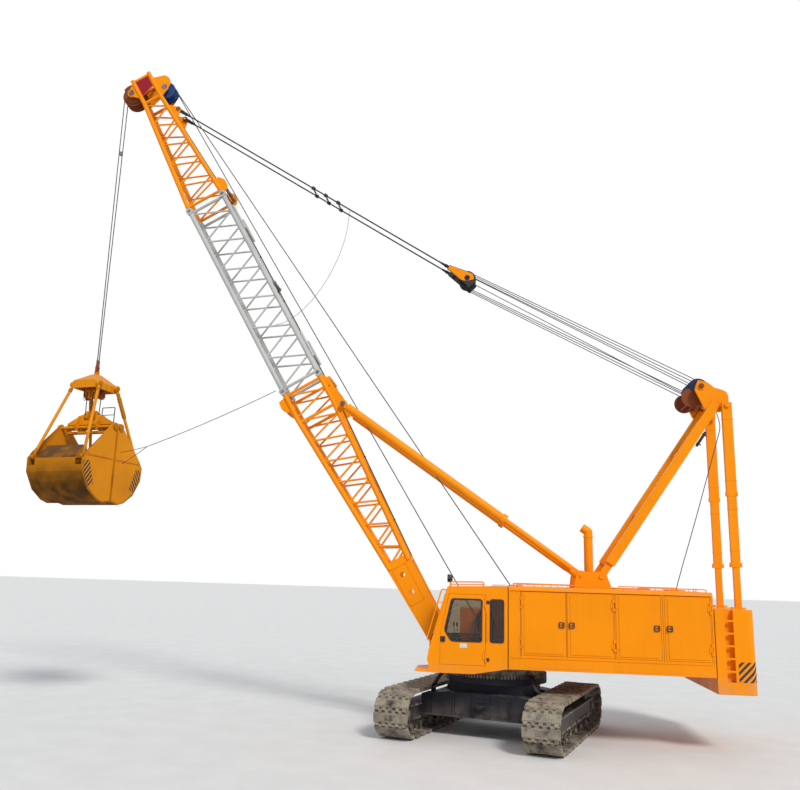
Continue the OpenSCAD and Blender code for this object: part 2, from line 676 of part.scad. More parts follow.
// Point of a front leg at a share u of its length
function leg_at(u, s) = [aframe_foot_x + u*(aframe_top_x - aframe_foot_x), s*aframe_y, aframe_foot_z + u*(aframe_top_z - aframe_foot_z)];
function leg_xz(u) = [leg_at(u, 1)[0], leg_at(u, 1)[2]];
head_tube = [aframe_head_x - 300, aframe_head_z - 300];
module aframe_front_legs() {
    hx = aframe_head_x;
    hz = aframe_head_z;
    color(yellow) difference() {
        union() {
            for (s = [-1, 1]) {
                box_bar(leg_at(0.07, s), leg_at(0.97, s), leg_w, leg_h);
                yplate(s*aframe_y, bracket_gap - 2*side_gap, strip(leg_xz(0), leg_xz(0.09), 80));
                ycyl([aframe_foot_x, s*aframe_y, aframe_foot_z], 95, bracket_gap - 2*side_gap);
                yplate(s*aframe_y, 60, [[hx + 60, hz + 150], [hx - 160, hz + 90], [hx - 310, hz - 40], [rear_leg_x + 60, hz - 80], [rear_leg_x - 60, hz - 140],
                    [rear_leg_x - 100, hz - 250], [rear_leg_x - 90, rear_pin_z - 80], [rear_leg_x + 130, rear_pin_z - 130], [hx - 230, hz - 620], [hx - 60, hz - 560],
                    [hx + 150, hz - 100], [hx + 120, hz + 20]]);
                ycyl([hx, s*(aframe_y + 30), hz], 95, 40, 32);
            }
            ycyl([head_tube[0], 0, head_tube[1]], head_tube_r, aframe_w);
            for (u = [0.35, 0.7]) bar(leg_at(u, -1), leg_at(u, 1), 60);
        }
        for (s = [-1, 1]) ycyl([aframe_foot_x, s*aframe_y, aframe_foot_z], leg_pin_r, 400);
        ycyl([hx, 0, hz], 60, aframe_w + 300);
        ycyl([rear_leg_x, 0, rear_pin_z], leg_pin_r, aframe_w + 400);
    }
    color(dark) for (s = [-1, 1])
        ycyl([aframe_foot_x, s*aframe_y, aframe_foot_z], leg_pin_r - run_fit, bracket_gap + 2*bracket_t + 30);
}
// Guard plates beside the head sheaves, held on the head's cross tube
module head_guard() {
    c = [aframe_head_x + 190, aframe_head_z - 240];
    y = head_sheave_count*60 + 20;
    color([0.45, 0.25, 0.08]) difference() {
        union() {
            for (s = [-1, 1]) yplate(s*y, 12, concat(arc(c, 235, -130, 75, 12),
                [[aframe_head_x + 60, aframe_head_z - 115], [head_tube[0] - 110, head_tube[1] + 100], [head_tube[0] - 110, head_tube[1] - 110]]));
            for (a = [-110, -60]) ycyl([c[0] + 200*cos(a), 0, c[1] + 200*sin(a)], 15, 2*y, 24);
        }
        ycyl([head_tube[0], 0, head_tube[1]], head_tube_r + seat, aframe_w);
    }
}
// rear leg table: lower z, upper z, half depth, half width
leg_parts = [[cw_z1, rear_foot_z, 70, 50], [rear_foot_z - 40, rear_collar_z, 95, 55], [rear_collar_z - 50, rear_pin_z + 70, 110, rear_leg_w/2]];
module aframe_rear_legs() {
    color(yellow) for (s = [-1, 1]) {
        y = s*rear_y;
        difference() {
            union() {
                for (l = leg_parts) block([rear_leg_x - l[2], y - l[3], l[0]], [rear_leg_x + l[2], y + l[3], l[1]]);
                for (z = [rear_foot_z, rear_collar_z]) block([rear_leg_x - 125, y - rear_leg_w/2, z - 50], [rear_leg_x + 125, y + rear_leg_w/2, z + 50]);
                block([rear_leg_x - 150, y - rear_leg_w/2, cw_z1], [rear_leg_x + 150, y + rear_leg_w/2, cw_z1 + 30]);
            }
            ycyl([rear_leg_x, y, rear_pin_z], leg_pin_r, 400);
        }
        ycyl([rear_leg_x, s*(aframe_y + rear_y)/2, rear_pin_z], leg_pin_r - run_fit, rear_y - aframe_y + rear_leg_w/2 + 60);
    }
}
module sheave(p, r, w, bore) {
    difference() {
        union() {
            ycyl(p, r - groove_d, w, 64);
            for (k = [-1, 1]) ycyl(p + [0, k*(w/2 - 8), 0], r, 16, 64);
        }
        ycyl(p, bore, w + 40, 48);
    }
}
module aframe_sheaves() {
    color(dark) for (i = [0:head_sheave_count - 1])
        sheave([aframe_head_x, (i - (head_sheave_count - 1)/2)*120, aframe_head_z], head_sheave_r, 100, 60);
    color(dark) ycyl([aframe_head_x, 0, aframe_head_z], 60 - run_fit, aframe_w + 140);
}

// Places a child in the boom's own frame, X along it and Z to its back
module on_boom() {
    translate([foot_x, 0, foot_z]) rotate([0, -luff, 0]) children();
}
// Lattice between two stations, each with s, front t, back t and half width y
module lattice(a, b, panels) {
    function at(u, v, w) = let (m = a*(1 - u) + b*u) [m[0], w*m[3], v < 0 ? m[1] : m[2]];
    for (v = [-1, 1], w = [-1, 1]) bar(at(0, v, w), at(1, v, w), chord_r, 12);
    e = brace_inset/(b[0] - a[0]);
    for (i = [0:panels - 1]) {
        u0 = e + (1 - 2*e)*i/panels;
        um = e + (1 - 2*e)*(i + 0.5)/panels;
        u1 = e + (1 - 2*e)*(i + 1)/panels;
        for (w = [-1, 1]) {
            bar(at(u0, -1, w), at(um, 1, w), brace_r);
            bar(at(um, 1, w), at(u1, -1, w), brace_r);
        }
        for (v = [-1, 1]) {
            bar(at(u0, v, -1), at(um, v, 1), brace_r);
            bar(at(um, v, 1), at(u1, v, -1), brace_r);
        }
    }
}
module end_frame(s, t0, t1, y, lug = 0) {
    for (v = [t0, t1]) bar([s, -y, v], [s, y, v], 45);
    for (w = [-1, 1]) bar([s, w*y, t0], [s, w*y, t1], 40);
}
half_d = boom_d/2;
brace_inset = 50;
joint_boss_r = 95;
joint_gap = joint_boss_r + seat;
foot_end = 2100;
chord_bend_s = strut_s + 240;
winch_s = lower_len - 340;
winch_t = -half_d - 90;
roller_s = [strut_s + 420, lower_len - 260];
module boom_lower() {
    color(yellow) on_boom() difference() {
        union() {
            for (w = [-1, 1]) yplate(w*boom_y, foot_plate_t, concat(arc([0, 0], 150, 110, 250, 8), [[foot_end, -260], [foot_end + 150, -200], [foot_end + 150, 320], [foot_end, 372], [700, 350]]));
            lattice([foot_end, -200, 310, boom_y], [chord_bend_s, -half_d, half_d, boom_y], 7);
            lattice([chord_bend_s, -half_d, half_d, boom_y], [lower_len - joint_gap, -half_d, half_d, boom_y], 1);
            end_frame(foot_end, -200, 310, boom_y);
            end_frame(lower_len - joint_gap - 45, -half_d, half_d, boom_y);
            end_frame(strut_s + 140, -half_d, half_d, boom_y);
            for (w = [-1, 1]) {
                yplate(w*boom_y, 30, [[winch_s - 230, -half_d + 20], [winch_s - 200, winch_t - 60], [winch_s - 60, winch_t - 150], [winch_s + 140, winch_t - 130], [winch_s + 200, -half_d + 20]]);
            }
            // tag line winch between the front plates
            ycyl([winch_s, 0, winch_t], 60, 2*boom_y, 32);
            ycyl([winch_s, 0, winch_t], 110, 2*boom_y - 400, 48);
            for (k = [-1, 1]) ycyl([winch_s, k*(boom_y - 200), winch_t], 160, 20, 48);
            bar([700, -boom_y, 0], [700, boom_y, 0], 80, 12);
        }
        ycyl([0, 0, 0], foot_pin_r, 2000);
        for (x = [1407, 1860]) ycyl([x, 0, 15], 65, 2000);
    }
}
// Plates on the back chords that hold the backstops' pins and two rope rollers
module boom_brackets() {
    color(yellow) on_boom() difference() {
        union() {
            for (w = [-1, 1]) {
                yplate(w*boom_y, 40, [[strut_s - 110, half_d - 20], [strut_s - 120, strut_t], [strut_s - 60, strut_t + 90],
                    [strut_s + 40, strut_t + 105], [strut_s + 300, half_d + 215], [lower_len - 300, half_d + 190],
                    [lower_len - 140, half_d + 110], [lower_len - 110, half_d - 40]]);
                ycyl([strut_s, w*(boom_y + strut_y - 10 + seat - side_gap/2)/2, strut_t], 80,
                    strut_y - 50 - seat - side_gap/2 - boom_y, 32);
            }
            for (x = roller_s) ycyl([x, 0, half_d + 185], 45, 2*boom_y, 32);
        }
        for (w = [-1, 1]) {
            bar([foot_end, w*boom_y, 310], [chord_bend_s, w*boom_y, half_d], chord_r + seat, 12);
            bar([chord_bend_s, w*boom_y, half_d], [lower_len, w*boom_y, half_d], chord_r + seat, 12);
        }
        ycyl([lower_len - 450, 0, half_d + 95], 22, 2000);
        ycyl([strut_s, 0, strut_t], strut_pin_r, 2000);
    }
    color(dark) on_boom() for (w = [-1, 1]) ycyl([strut_s, w*(boom_y + strut_y + 40)/2, strut_t], strut_pin_r - run_fit, strut_y + 40 - boom_y + 40);
}
module boom_insert() {
    color(grey) on_boom() {
        a = lower_len + 40;
        b = lower_len + insert_len - 40;
        lattice([a, -half_d, half_d, boom_y], [b, -half_d, half_d, boom_y], 6);
        end_frame(a + 20, -half_d, half_d, boom_y);
        end_frame(b - 20, -half_d, half_d, boom_y);
        // rope guards on the back chords near the joints
        for (s = [a + 420, b - 1180], w = [-1, 1]) {
            bar([s, w*boom_y, half_d + chord_r + 45], [s + 760, w*boom_y, half_d + chord_r + 45], 32);
            for (x = [s + 80, s + 680]) bar([x, w*boom_y, half_d], [x, w*boom_y, half_d + chord_r + 45], 14);
        }
        for (s = [a - 40, b + 40], v = [-half_d, half_d], w = [-boom_y, boom_y]) ycyl([s, w, v], joint_boss_r, 150, 32);
    }
}
module boom_top() {
    color(yellow) on_boom() difference() {
        union() {
            lattice([boom_top_s + joint_gap + 20, -half_d, half_d, boom_y], [head_s, -head_t, head_t, nose_y], 5);
            end_frame(boom_top_s + joint_gap + 45, -half_d, half_d, boom_y);
            for (w = [-1, 1]) {
                // the head's chords, the lug of the hoist sheaves and the cheek of the guide sheave
                for (v = [-1, 1]) bar([head_s - 1, w*nose_y, v*head_t], [head_top_s, w*nose_y, v*head_t], chord_r, 12);
                yplate(w*nose_y, 20, [[head_s + 260, -head_t], [head_top_s - 20, -head_t], [head_top_s - 20, head_t], [head_s + 420, head_t]]);
                yplate(w*nose_y, 40, concat([[nose_s - 330, -head_t]], arc([nose_s, nose_t], 120, 190, 350, 10), [[nose_s + 260, -head_t]]));
                yplate(w*nose_y, 40, concat([[guide_s + 420, head_t]], arc([guide_s, guide_t], 110, 40, 190, 10), [[guide_s - 240, head_t]]));
                yplate(w*lug_y, 40, concat([[lug_s - 300, 330]], arc([lug_s, lug_t], 75, 150, 10, 8), [[lug_s + 360, 250]]));
            }
            for (p = [[head_s - 60, -head_t], [head_s - 60, head_t], [head_top_s - 60, -60], [head_top_s - 60, head_t]])
                bar([p[0], -nose_y, p[1]], [p[0], nose_y, p[1]], 55);
            for (x = [head_s + 20, head_top_s - 60], w = [-1, 1]) bar([x, w*nose_y, -head_t], [x, w*nose_y, head_t], 45);
        }
        ycyl([nose_s, 0, nose_t], 60, 2000);
        ycyl([guide_s, 0, guide_t], 50, 2000);
        ycyl([lug_s, 0, lug_t], lug_pin_r, 2000);
    }
    color(dark) on_boom() for (w = [-1, 1]) ycyl([lug_s, w*(pendant_y + lug_y)/2, lug_t], lug_pin_r - run_fit, lug_y - pendant_y + 80);
}
// Rope guard round the hoist sheaves: two cheeks and a hood over their front
module nose_guard() {
    y = nose_pitch + 55 + 25;
    c = [nose_s, nose_t];
    hood_r = nose_r + 22;
    color([0.5, 0.12, 0.08]) on_boom() difference() {
        union() {
            for (w = [-1, 1]) yplate(w*y, 12, concat(arc(c, hood_r + 12, 20, -28, 6), arc(c, nose_r - 60, -40, -200, 12),
                [[nose_s - nose_r, -head_t + 100], [nose_s + 100, -head_t + 100]]));
            yplate(0, 2*y, concat(arc(c, hood_r, -28, 20, 8), arc(c, hood_r + 12, 20, -28, 8)));
        }
        ycyl([nose_s, 0, nose_t], 60 + seat, 2000);
    }
}
module nose_sheaves() {
    color([0.5, 0.12, 0.08]) on_boom() {
        for (s = [-1, 1]) sheave([nose_s, s*nose_pitch, nose_t], nose_r, 110, 60);
        ycyl([nose_s, 0, nose_t], 60 - run_fit, 2*nose_y + 60);
    }
}
module guide_sheave() {
    color([0.1, 0.2, 0.5]) on_boom() {
        for (y = [-110, 110]) sheave([guide_s, y, guide_t], guide_r, 90, 50);
        ycyl([guide_s, 0, guide_t], 50 - run_fit, 2*nose_y + 60);
    }
}

// Places a child on the line from the roof bracket to the boom, X towards the boom
module on_strut() {
    translate([bracket_x, 0, bracket_z]) rotate([0, -strut_angle, 0]) children();
}
module backstop_tubes() {
    color(yellow) on_strut() for (s = [-1, 1]) {
        y = s*(aframe_y);
        difference() {
            union() {
                translate([strut_len - strut_tube_len, y, 0]) rotate([0, 90, 0]) cylinder(h = strut_tube_len - 150, r = strut_tube_r, $fn = 32);
                translate([strut_len - strut_tube_len, y, 0]) rotate([0, 90, 0]) cylinder(h = 120, r = strut_tube_r + 30, $fn = 32);
                block([strut_len - 200, y - 30, -60], [strut_len, y + 30, 60]);
                ycyl([strut_len, y, 0], 80, 60, 32);
            }
            translate([strut_len - strut_tube_len - 1, y, 0]) rotate([0, 90, 0]) cylinder(h = 122, r = strut_rod_r + run_fit, $fn = 32);
            translate([strut_len - strut_tube_len + 120, y, 0]) rotate([0, 90, 0]) cylinder(h = strut_tube_len - 420, r = strut_rod_r + 6, $fn = 32);
            ycyl([strut_len, y, 0], strut_pin_r, 200);
        }
    }
}
module backstop_rods() {
    color(yellow) on_strut() for (s = [-1, 1]) {
        y = s*aframe_y;
        translate([rod_eye_len, y, 0]) rotate([0, 90, 0])
            cylinder(h = strut_len - strut_tube_len + strut_rod_in - rod_eye_len, r = strut_rod_r, $fn = 32);
        difference() {
            union() {
                block([0, y - 30, -60], [rod_eye_len - seat, y + 30, 60]);
                ycyl([0, y, 0], 80, 60, 32);
            }
            ycyl([0, y, 0], strut_pin_r, 200);
        }
    }
}
module on_pendant() {
    translate([lug_x, 0, lug_z]) rotate([0, -pendant_angle, 0]) children();
}
module pendants() {
    color(dark) on_pendant() {
        for (s = [-1, 1]) difference() {
            union() {
                bar([-120, s*pendant_y, 0], [-pendant_len, s*pendant_y, 0], pendant_r);
                block([-180, s*pendant_y - 22, -45], [0, s*pendant_y + 22, 45]);
                ycyl([0, s*pendant_y, 0], 70, 44, 32);
                yplate(s*pendant_y, 40, [[-pendant_len + 60, 60], [-pendant_len + 60, -60],
                    [-pendant_len - 700, -190], [-pendant_len - 760, 60], [-pendant_len - 600, 190]]);
            }
            ycyl([0, s*pendant_y, 0], lug_pin_r, 200);
            ycyl([bridle_sheave_x, s*pendant_y, 0], bridle_pin_r, 200);
        }
        for (i = [0:spreader_count - 1]) {
            x = -spreader_s - i*spreader_pitch;
            bar([x, -pendant_y, 0], [x, pendant_y, 0], 22);
            for (s = [-1, 1]) block([x - 45, s*pendant_y - 35, -40], [x + 45, s*pendant_y + 35, 40]);
        }
        bar([-pendant_len - 100, -pendant_y, 0], [-pendant_len - 100, pendant_y, 0], 40);
    }
}
module bridle_sheaves() {
    color(dark) on_pendant() {
        for (i = [0:2]) sheave([bridle_sheave_x, (i - 1)*120, 0], bridle_sheave_r, 100, bridle_pin_r);
        ycyl([bridle_sheave_x, 0, 0], bridle_pin_r - run_fit, 2*pendant_y + 60);
    }
}

module on_grab() {
    translate([grab_x, 0, 0]) rotate([0, 0, grab_yaw]) children();
}
module hoist_ropes() {
    color(dark) for (s = [-1, 1])
        bar([nose_x + nose_r - groove_d + rope_r + seat, s*nose_pitch, nose_z], [grab_x, s*30, grab_head_z + 420 + 2*seat], rope_r);
    // closing falls between the head and the crosshead
    color(dark) on_grab() for (k = [-1, 1], y = [-fall_y, fall_y])
        bar([k*(block_r + rope_r + seat), y, grab_head_z - 180], [k*(block_r - 20 + rope_r + seat), y, grab_hinge_z + 330], rope_r);
}
arm_top = 350;
jaw_pin_x = 110;
arm_t = 90;
arm_bar_r = 40;
arm_clear = 240;
arm_lean = 110;
arm_y = jaw_w/2 - jaw_t - 60;
arm_low = 1060;
block_r = 150;
block_y = 190;
fall_y = block_y/2;
head_y = arm_top_y - arm_t/2 - side_gap;
// The head's outline from the side and across, less a wall t
function head_side(t) = [[-450 + t, grab_head_z - 110 - 2*t], [450 - t, grab_head_z - 110 - 2*t], [450 - t, grab_head_z + 100 - t/2], [90, grab_head_z + 330 - t], [-90, grab_head_z + 330 - t], [-450 + t, grab_head_z + 100 - t/2]];
function head_end(t) = [[-head_y + t, grab_head_z - 110 - 2*t], [head_y - t, grab_head_z - 110 - 2*t], [head_y - t, grab_head_z + 60 - t/2], [90, grab_head_z + 330 - t], [-90, grab_head_z + 330 - t], [-head_y + t, grab_head_z + 60 - t/2]];
module head_form(t) {
    intersection() {
        yplate(0, 2*head_y, head_side(t));
        translate([-500, 0, 0]) rotate([90, 0, 90]) linear_extrude(1000) polygon(head_end(t));
    }
}
module grab_head() {
    color(yellow) on_grab() {
        difference() {
            union() {
                difference() {
                    head_form(0);
                    head_form(20);
                }
                for (k = [-1, 1]) yplate(k*330, 40, [[-440, grab_head_z - 110], [440, grab_head_z - 110], [440, grab_head_z + 50], [-440, grab_head_z + 50]]);
                yplate(0, 80, [[-60, grab_head_z + 300], [60, grab_head_z + 300], [60, grab_head_z + 420], [-60, grab_head_z + 420]]);
            }
            for (x = [-arm_top, arm_top]) ycyl([x, 0, grab_head_z], grab_pin_r, 1200);
            ycyl([0, 0, grab_head_z + 375], 25, 200, 48);
        }
        for (x = [-arm_top, arm_top]) ycyl([x, 0, grab_head_z], grab_pin_r - run_fit, 2*arm_top_y + arm_t + 40);
    }
    // sheave block under the head
    color([0.4, 0.16, 0.08]) on_grab() {
        for (k = [-1, 0, 1]) yplate(k*block_y, 20, [[-120, grab_head_z + 60], [120, grab_head_z + 60], [150, grab_head_z - 180], [90, grab_head_z - 330], [-90, grab_head_z - 330], [-150, grab_head_z - 180]]);
        for (k = [-1, 1]) ycyl([0, k*block_y/2, grab_head_z - 180], block_r, 90, 48);
        ycyl([0, 0, grab_head_z - 180], 35, 2*block_y + 60, 32);
        block([-120, -330, grab_head_z + 40], [120, 330, grab_head_z + 80]);
    }
}
module grab_crosshead() {
    color(yellow) on_grab() {
        difference() {
            for (k = [-1, 1]) yplate(k*330, 40, [[-180, grab_hinge_z - 90], [180, grab_hinge_z - 90], [250, grab_hinge_z + 60], [100, grab_hinge_z + 320], [-100, grab_hinge_z + 320], [-250, grab_hinge_z + 60]]);
            for (x = [-jaw_pin_x, jaw_pin_x]) ycyl([x, 0, grab_hinge_z], grab_pin_r, 900);
        }
        // end plates and the two cross beams
        for (x = [-1, 1]) translate([x*70 - 10, 0, 0]) rotate([90, 0, 90]) linear_extrude(20)
            polygon([[-700, grab_hinge_z + 60], [700, grab_hinge_z + 60], [700, grab_hinge_z + 110], [220, grab_hinge_z + 200], [-220, grab_hinge_z + 200], [-700, grab_hinge_z + 110]]);
        block([-80, -700, grab_hinge_z + 60], [80, 700, grab_hinge_z + 80]);
        for (x = [-jaw_pin_x, jaw_pin_x]) ycyl([x, 0, grab_hinge_z], grab_pin_r - run_fit, jaw_w + 40);
    }
    color([0.4, 0.16, 0.08]) on_grab() {
        for (k = [-1, 1]) {
            ycyl([0, k*block_y/2, grab_hinge_z + 330], block_r - 20, 90, 48);
            yplate(k*block_y, 20, [[-90, grab_hinge_z + 80], [90, grab_hinge_z + 80], [70, grab_hinge_z + 390], [-70, grab_hinge_z + 390]]);
        }
        ycyl([0, 0, grab_hinge_z + 330], 35, 2*block_y + 60, 32);
    }
}
// One jaw on the side k of the grab's middle
module grab_jaw(k) {
    sp = jaw_span/2;
    side = concat([[6, grab_lip_z + 60], [6, grab_hinge_z]], arc([jaw_pin_x, grab_hinge_z], jaw_pin_x - 10, 180, 20, 8),
        [[sp - 140, grab_arm_z + 130], [sp, grab_arm_z - 60], [sp - 20, grab_arm_z - 400], [sp - 280, grab_lip_z + 300],
        [sp - 620, grab_lip_z + 70], [300, grab_lip_z]]);
    inner = [[-5, grab_lip_z + 100], [-5, grab_arm_z - 100], [sp - 200, grab_arm_z - 60], [sp - jaw_t, grab_arm_z - 80],
        [sp - 20 - jaw_t, grab_arm_z - 390], [sp - 300, grab_lip_z + 320], [sp - 630, grab_lip_z + 100], [300, grab_lip_z + jaw_t]];
    color(yellow) on_grab() mirror([k < 0 ? 1 : 0, 0, 0]) difference() {
        yplate(0, jaw_w, side);
        yplate(0, jaw_w - 2*jaw_t, inner);
        // open top between the side plates
        yplate(0, jaw_w - 2*jaw_t, [[-5, grab_arm_z - 110], [sp - 320, grab_arm_z - 110], [sp - 320, grab_hinge_z + 200], [-5, grab_hinge_z + 200]]);
        // slots for the arms in the rear beam
        for (s = [-1, 1]) yplate(s*(arm_y - arm_lean/2), arm_t + 2*side_gap + arm_lean, [[arm_low - arm_clear - 90, grab_arm_z - arm_clear], [sp + 50, grab_arm_z - arm_clear],
            [sp + 50, grab_arm_z + 400], [arm_low - arm_clear - 90, grab_arm_z + 400]]);
        ycyl([jaw_pin_x, 0, grab_hinge_z], grab_pin_r, 3000);
    }
}
module grab_arms(k) {
    color(yellow) on_grab() mirror([k < 0 ? 1 : 0, 0, 0]) for (s = [-1, 1]) difference() {
        union() {
            bar([arm_top, s*arm_top_y, grab_head_z], [arm_low, s*arm_y, grab_arm_z], arm_bar_r, 12);
            ycyl([arm_top, s*arm_top_y, grab_head_z], 80, arm_t);
            ycyl([arm_low, s*arm_y, grab_arm_z], 80, arm_t);
        }
        ycyl([arm_top, s*arm_top_y, grab_head_z], grab_pin_r, 200);
        ycyl([arm_low, s*arm_y, grab_arm_z], grab_pin_r, 200);
    }
}

carbody();
slew_ring();
side_frame(1);  // side_frame_left
side_frame(-1);  // side_frame_right
track_wheels(1);  // track_wheels_left
track_wheels(-1);  // track_wheels_right
track(1);  // track_left
track(-1);  // track_right
platform();
boom_foot_lugs();
cab_carrier();
side_wall(1);  // house_left_wall
side_wall(-1);  // house_right_wall
house_end_walls();
house_roof();
engine_block();
hoist_winches();
far_side_tank();
counterweight();
cab_shell();
cab_panes();
cab_seat();
cab_door();
cab_door_pane();
door(1, doors[0]);  // left_door_1
door(1, doors[1]);  // left_door_2
door(1, doors[2]);  // left_door_3
door(1, doors[3]);  // left_door_4
door(-1, doors[0]);  // right_door_1
door(-1, doors[1]);  // right_door_2
door(-1, doors[2]);  // right_door_3
door(-1, doors[3]);  // right_door_4
roof_brackets();
exhaust_stack();
aframe_front_legs();
aframe_rear_legs();
aframe_sheaves();
head_guard();
boom_lower();
boom_brackets();
boom_insert();
boom_top();
nose_guard();
nose_sheaves();
guide_sheave();
backstop_tubes();
backstop_rods();
pendants();
bridle_sheaves();
hoist_ropes();
grab_head();
grab_crosshead();
grab_jaw(1);  // grab_jaw_a
grab_jaw(-1);  // grab_jaw_b
grab_arms(1);  // grab_arms_a
grab_arms(-1);  // grab_arms_b
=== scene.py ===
"""Looks of a crawler crane with a lattice boom and a clamshell grab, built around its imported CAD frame."""

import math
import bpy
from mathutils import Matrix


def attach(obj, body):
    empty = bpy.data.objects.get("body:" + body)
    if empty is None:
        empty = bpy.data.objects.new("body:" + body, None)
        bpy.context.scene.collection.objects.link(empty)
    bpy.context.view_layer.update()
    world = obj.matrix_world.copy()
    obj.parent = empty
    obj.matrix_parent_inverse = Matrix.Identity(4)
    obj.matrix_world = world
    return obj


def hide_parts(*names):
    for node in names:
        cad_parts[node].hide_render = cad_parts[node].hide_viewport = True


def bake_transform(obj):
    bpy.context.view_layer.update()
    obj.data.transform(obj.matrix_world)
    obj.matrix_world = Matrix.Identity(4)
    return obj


bl_info = {
    "name": "Crawler crane with clamshell grab",
    "version": (1, 0, 0),
    "blender": (4, 5, 0),
    "location": "View3D > Sidebar > Crane",
    "description": "Builds the finishes, the trim and the rigging of a crawler crane on its CAD frame",
    "category": "Object",
}

import bpy
from bpy.props import FloatProperty, FloatVectorProperty, IntProperty, PointerProperty
from mathutils import Matrix, Vector

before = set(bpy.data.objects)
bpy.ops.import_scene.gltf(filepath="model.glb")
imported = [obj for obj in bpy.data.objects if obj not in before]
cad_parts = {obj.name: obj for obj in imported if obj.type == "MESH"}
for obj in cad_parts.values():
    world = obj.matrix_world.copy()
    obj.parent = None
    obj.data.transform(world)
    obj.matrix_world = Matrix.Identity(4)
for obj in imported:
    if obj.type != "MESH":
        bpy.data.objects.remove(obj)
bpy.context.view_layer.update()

# How the boom, the tracks and the grab stand in the rest pose, and where the boom's foot and the bridle are
LUFF = math.radians(59.9)
BOOM_FOOT = Vector((1.318, 0, 1.894))
TRACK_HEADING = math.radians(72.8)
GRAB_YAW = math.radians(76.8)
GRAB_X = 10.74
BRIDLE = Vector((1.22, 0, 11.39))
# The outer faces of the jaws' end plates, either way along the grab's own Y
JAW_FACE = 0.875


# Sizes and colours that a user would change
def colour(name, description, value):
    return FloatVectorProperty(
        name=name, description=description, subtype="COLOR", size=3, min=0, max=1, default=value
    )


def length(name, description, value):
    return FloatProperty(
        name=name, description=description, default=value, min=0.0005, unit="LENGTH", precision=4
    )


class CranePaint(bpy.types.PropertyGroup):
    """Colours of the crane's finishes"""

    orange: colour("Orange", "Enamel of the house, the boom and the A-frame", (0.9, 0.275, 0.001))
    grab: colour("Grab yellow", "Enamel of the clamshell grab", (0.72, 0.255, 0.002))
    grey: colour("Grey", "Paint of the boom's insert section", (0.5, 0.51, 0.49))
    dark: colour("Dark paint", "Paint of the carbody and the machinery", (0.022, 0.023, 0.032))
    # on the shells of the grab's jaws this dark brown is partly soil and partly painted shade under them
    soil: colour("Soil", "Damp soil on the grab's jaws", (0.07, 0.03, 0.005))
    dust: colour("Dust", "Dried soil on the tracks and the lower parts", (0.34, 0.29, 0.22))
    rust: colour("Rust", "Rust at chips and edges", (0.13, 0.045, 0.018))
    red: colour("Red brown", "Paint of the hoist sheaves and their guards", (0.24, 0.06, 0.022))
    blue: colour("Blue", "Paint of the guide sheave", (0.03, 0.075, 0.25))
    rope: colour("Rope", "Greased wire rope", (0.03, 0.03, 0.03))


class CraneSizes(bpy.types.PropertyGroup):
    """Sizes of the crane's trim and rigging"""

    rope_radius: length("Rope radius", "Radius of the hoist and luffing ropes", 0.013)
    gasket: length("Gasket", "Width of the rubber round a window", 0.03)
    latch: length("Latch radius", "Half the width of a door latch", 0.06)
    shoes: IntProperty(name="Shoes", description="Shoes in one track", default=32, min=24, max=60)
    stripe: length("Stripe", "Width of a hazard stripe", 0.05)


# Node materials
class Finish:
    """A node material that is put together step by step."""

    def __init__(self, name):
        self.material = bpy.data.materials.new(name)
        self.material.use_nodes = True
        self.tree = self.material.node_tree
        self.shader = self.tree.nodes["Principled BSDF"]
        self.where = self.tree.nodes.new("ShaderNodeTexCoord").outputs["Object"]

    def link(self, source, target):
        self.tree.links.new(source, target)

    def add(self, kind, **settings):
        node = self.tree.nodes.new(kind)
        for key, value in settings.items():
            setattr(node, key, value)
        return node

    def noise(self, scale, detail=4.0, stretch=(1, 1, 1), rough=0.55):
        mapping = self.add("ShaderNodeMapping")
        mapping.inputs["Scale"].default_value = stretch
        self.link(self.where, mapping.inputs["Vector"])
        node = self.add("ShaderNodeTexNoise")
        node.inputs["Scale"].default_value = scale
        node.inputs["Detail"].default_value = detail
        node.inputs["Roughness"].default_value = rough
        self.link(mapping.outputs["Vector"], node.inputs["Vector"])
        return node.outputs["Fac"]

    def band(self, value, low, high, to_low=0.0, to_high=1.0):
        node = self.add("ShaderNodeMapRange", interpolation_type="SMOOTHSTEP")
        for key, number in (("From Min", low), ("From Max", high), ("To Min", to_low), ("To Max", to_high)):
            node.inputs[key].default_value = number
        self.link(value, node.inputs["Value"])
        return node.outputs["Result"]

    def times(self, a, b, operation="MULTIPLY"):
        node = self.add("ShaderNodeMath", operation=operation, use_clamp=True)
        for socket, value in zip(node.inputs, (a, b)):
            if isinstance(value, (int, float)):
                socket.default_value = value
            else:
                self.link(value, socket)
        return node.outputs["Value"]

    def mix(self, share, a, b):
        node = self.add("ShaderNodeMix", data_type="RGBA")
        for socket, value in ((node.inputs["Factor"], share), (node.inputs[6], a), (node.inputs[7], b)):
            if isinstance(value, (int, float)):
                socket.default_value = value
            elif isinstance(value, (tuple, list)) or hasattr(value, "hsv"):
                socket.default_value = (*value[:3], 1)
            else:
                self.link(value, socket)
        return node.outputs[2]

    def bump(self, height, strength, distance):
        node = self.add("ShaderNodeBump")
        node.inputs["Strength"].default_value = strength
        node.inputs["Distance"].default_value = distance
        self.link(height, node.inputs["Height"])
        self.link(node.outputs["Normal"], self.shader.inputs["Normal"])

    def surface(self, base, rough, metallic=None):
        self.link(base, self.shader.inputs["Base Color"])
        self.link(rough, self.shader.inputs["Roughness"])
        if metallic is not None:
            self.link(metallic, self.shader.inputs["Metallic"])

    def facing_up(self):
        normal = self.add("ShaderNodeNewGeometry").outputs["Normal"]
        split = self.add("ShaderNodeSeparateXYZ")
        self.link(normal, split.inputs["Vector"])
        return split.outputs["Z"]

    def height(self):
        split = self.add("ShaderNodeSeparateXYZ")
        self.link(self.where, split.inputs["Vector"])
        return split.outputs["Z"]


def toned(base, factor, lift=0.0):
    """A colour made darker or lighter."""
    return tuple(min(1, factor * c + lift) for c in base)


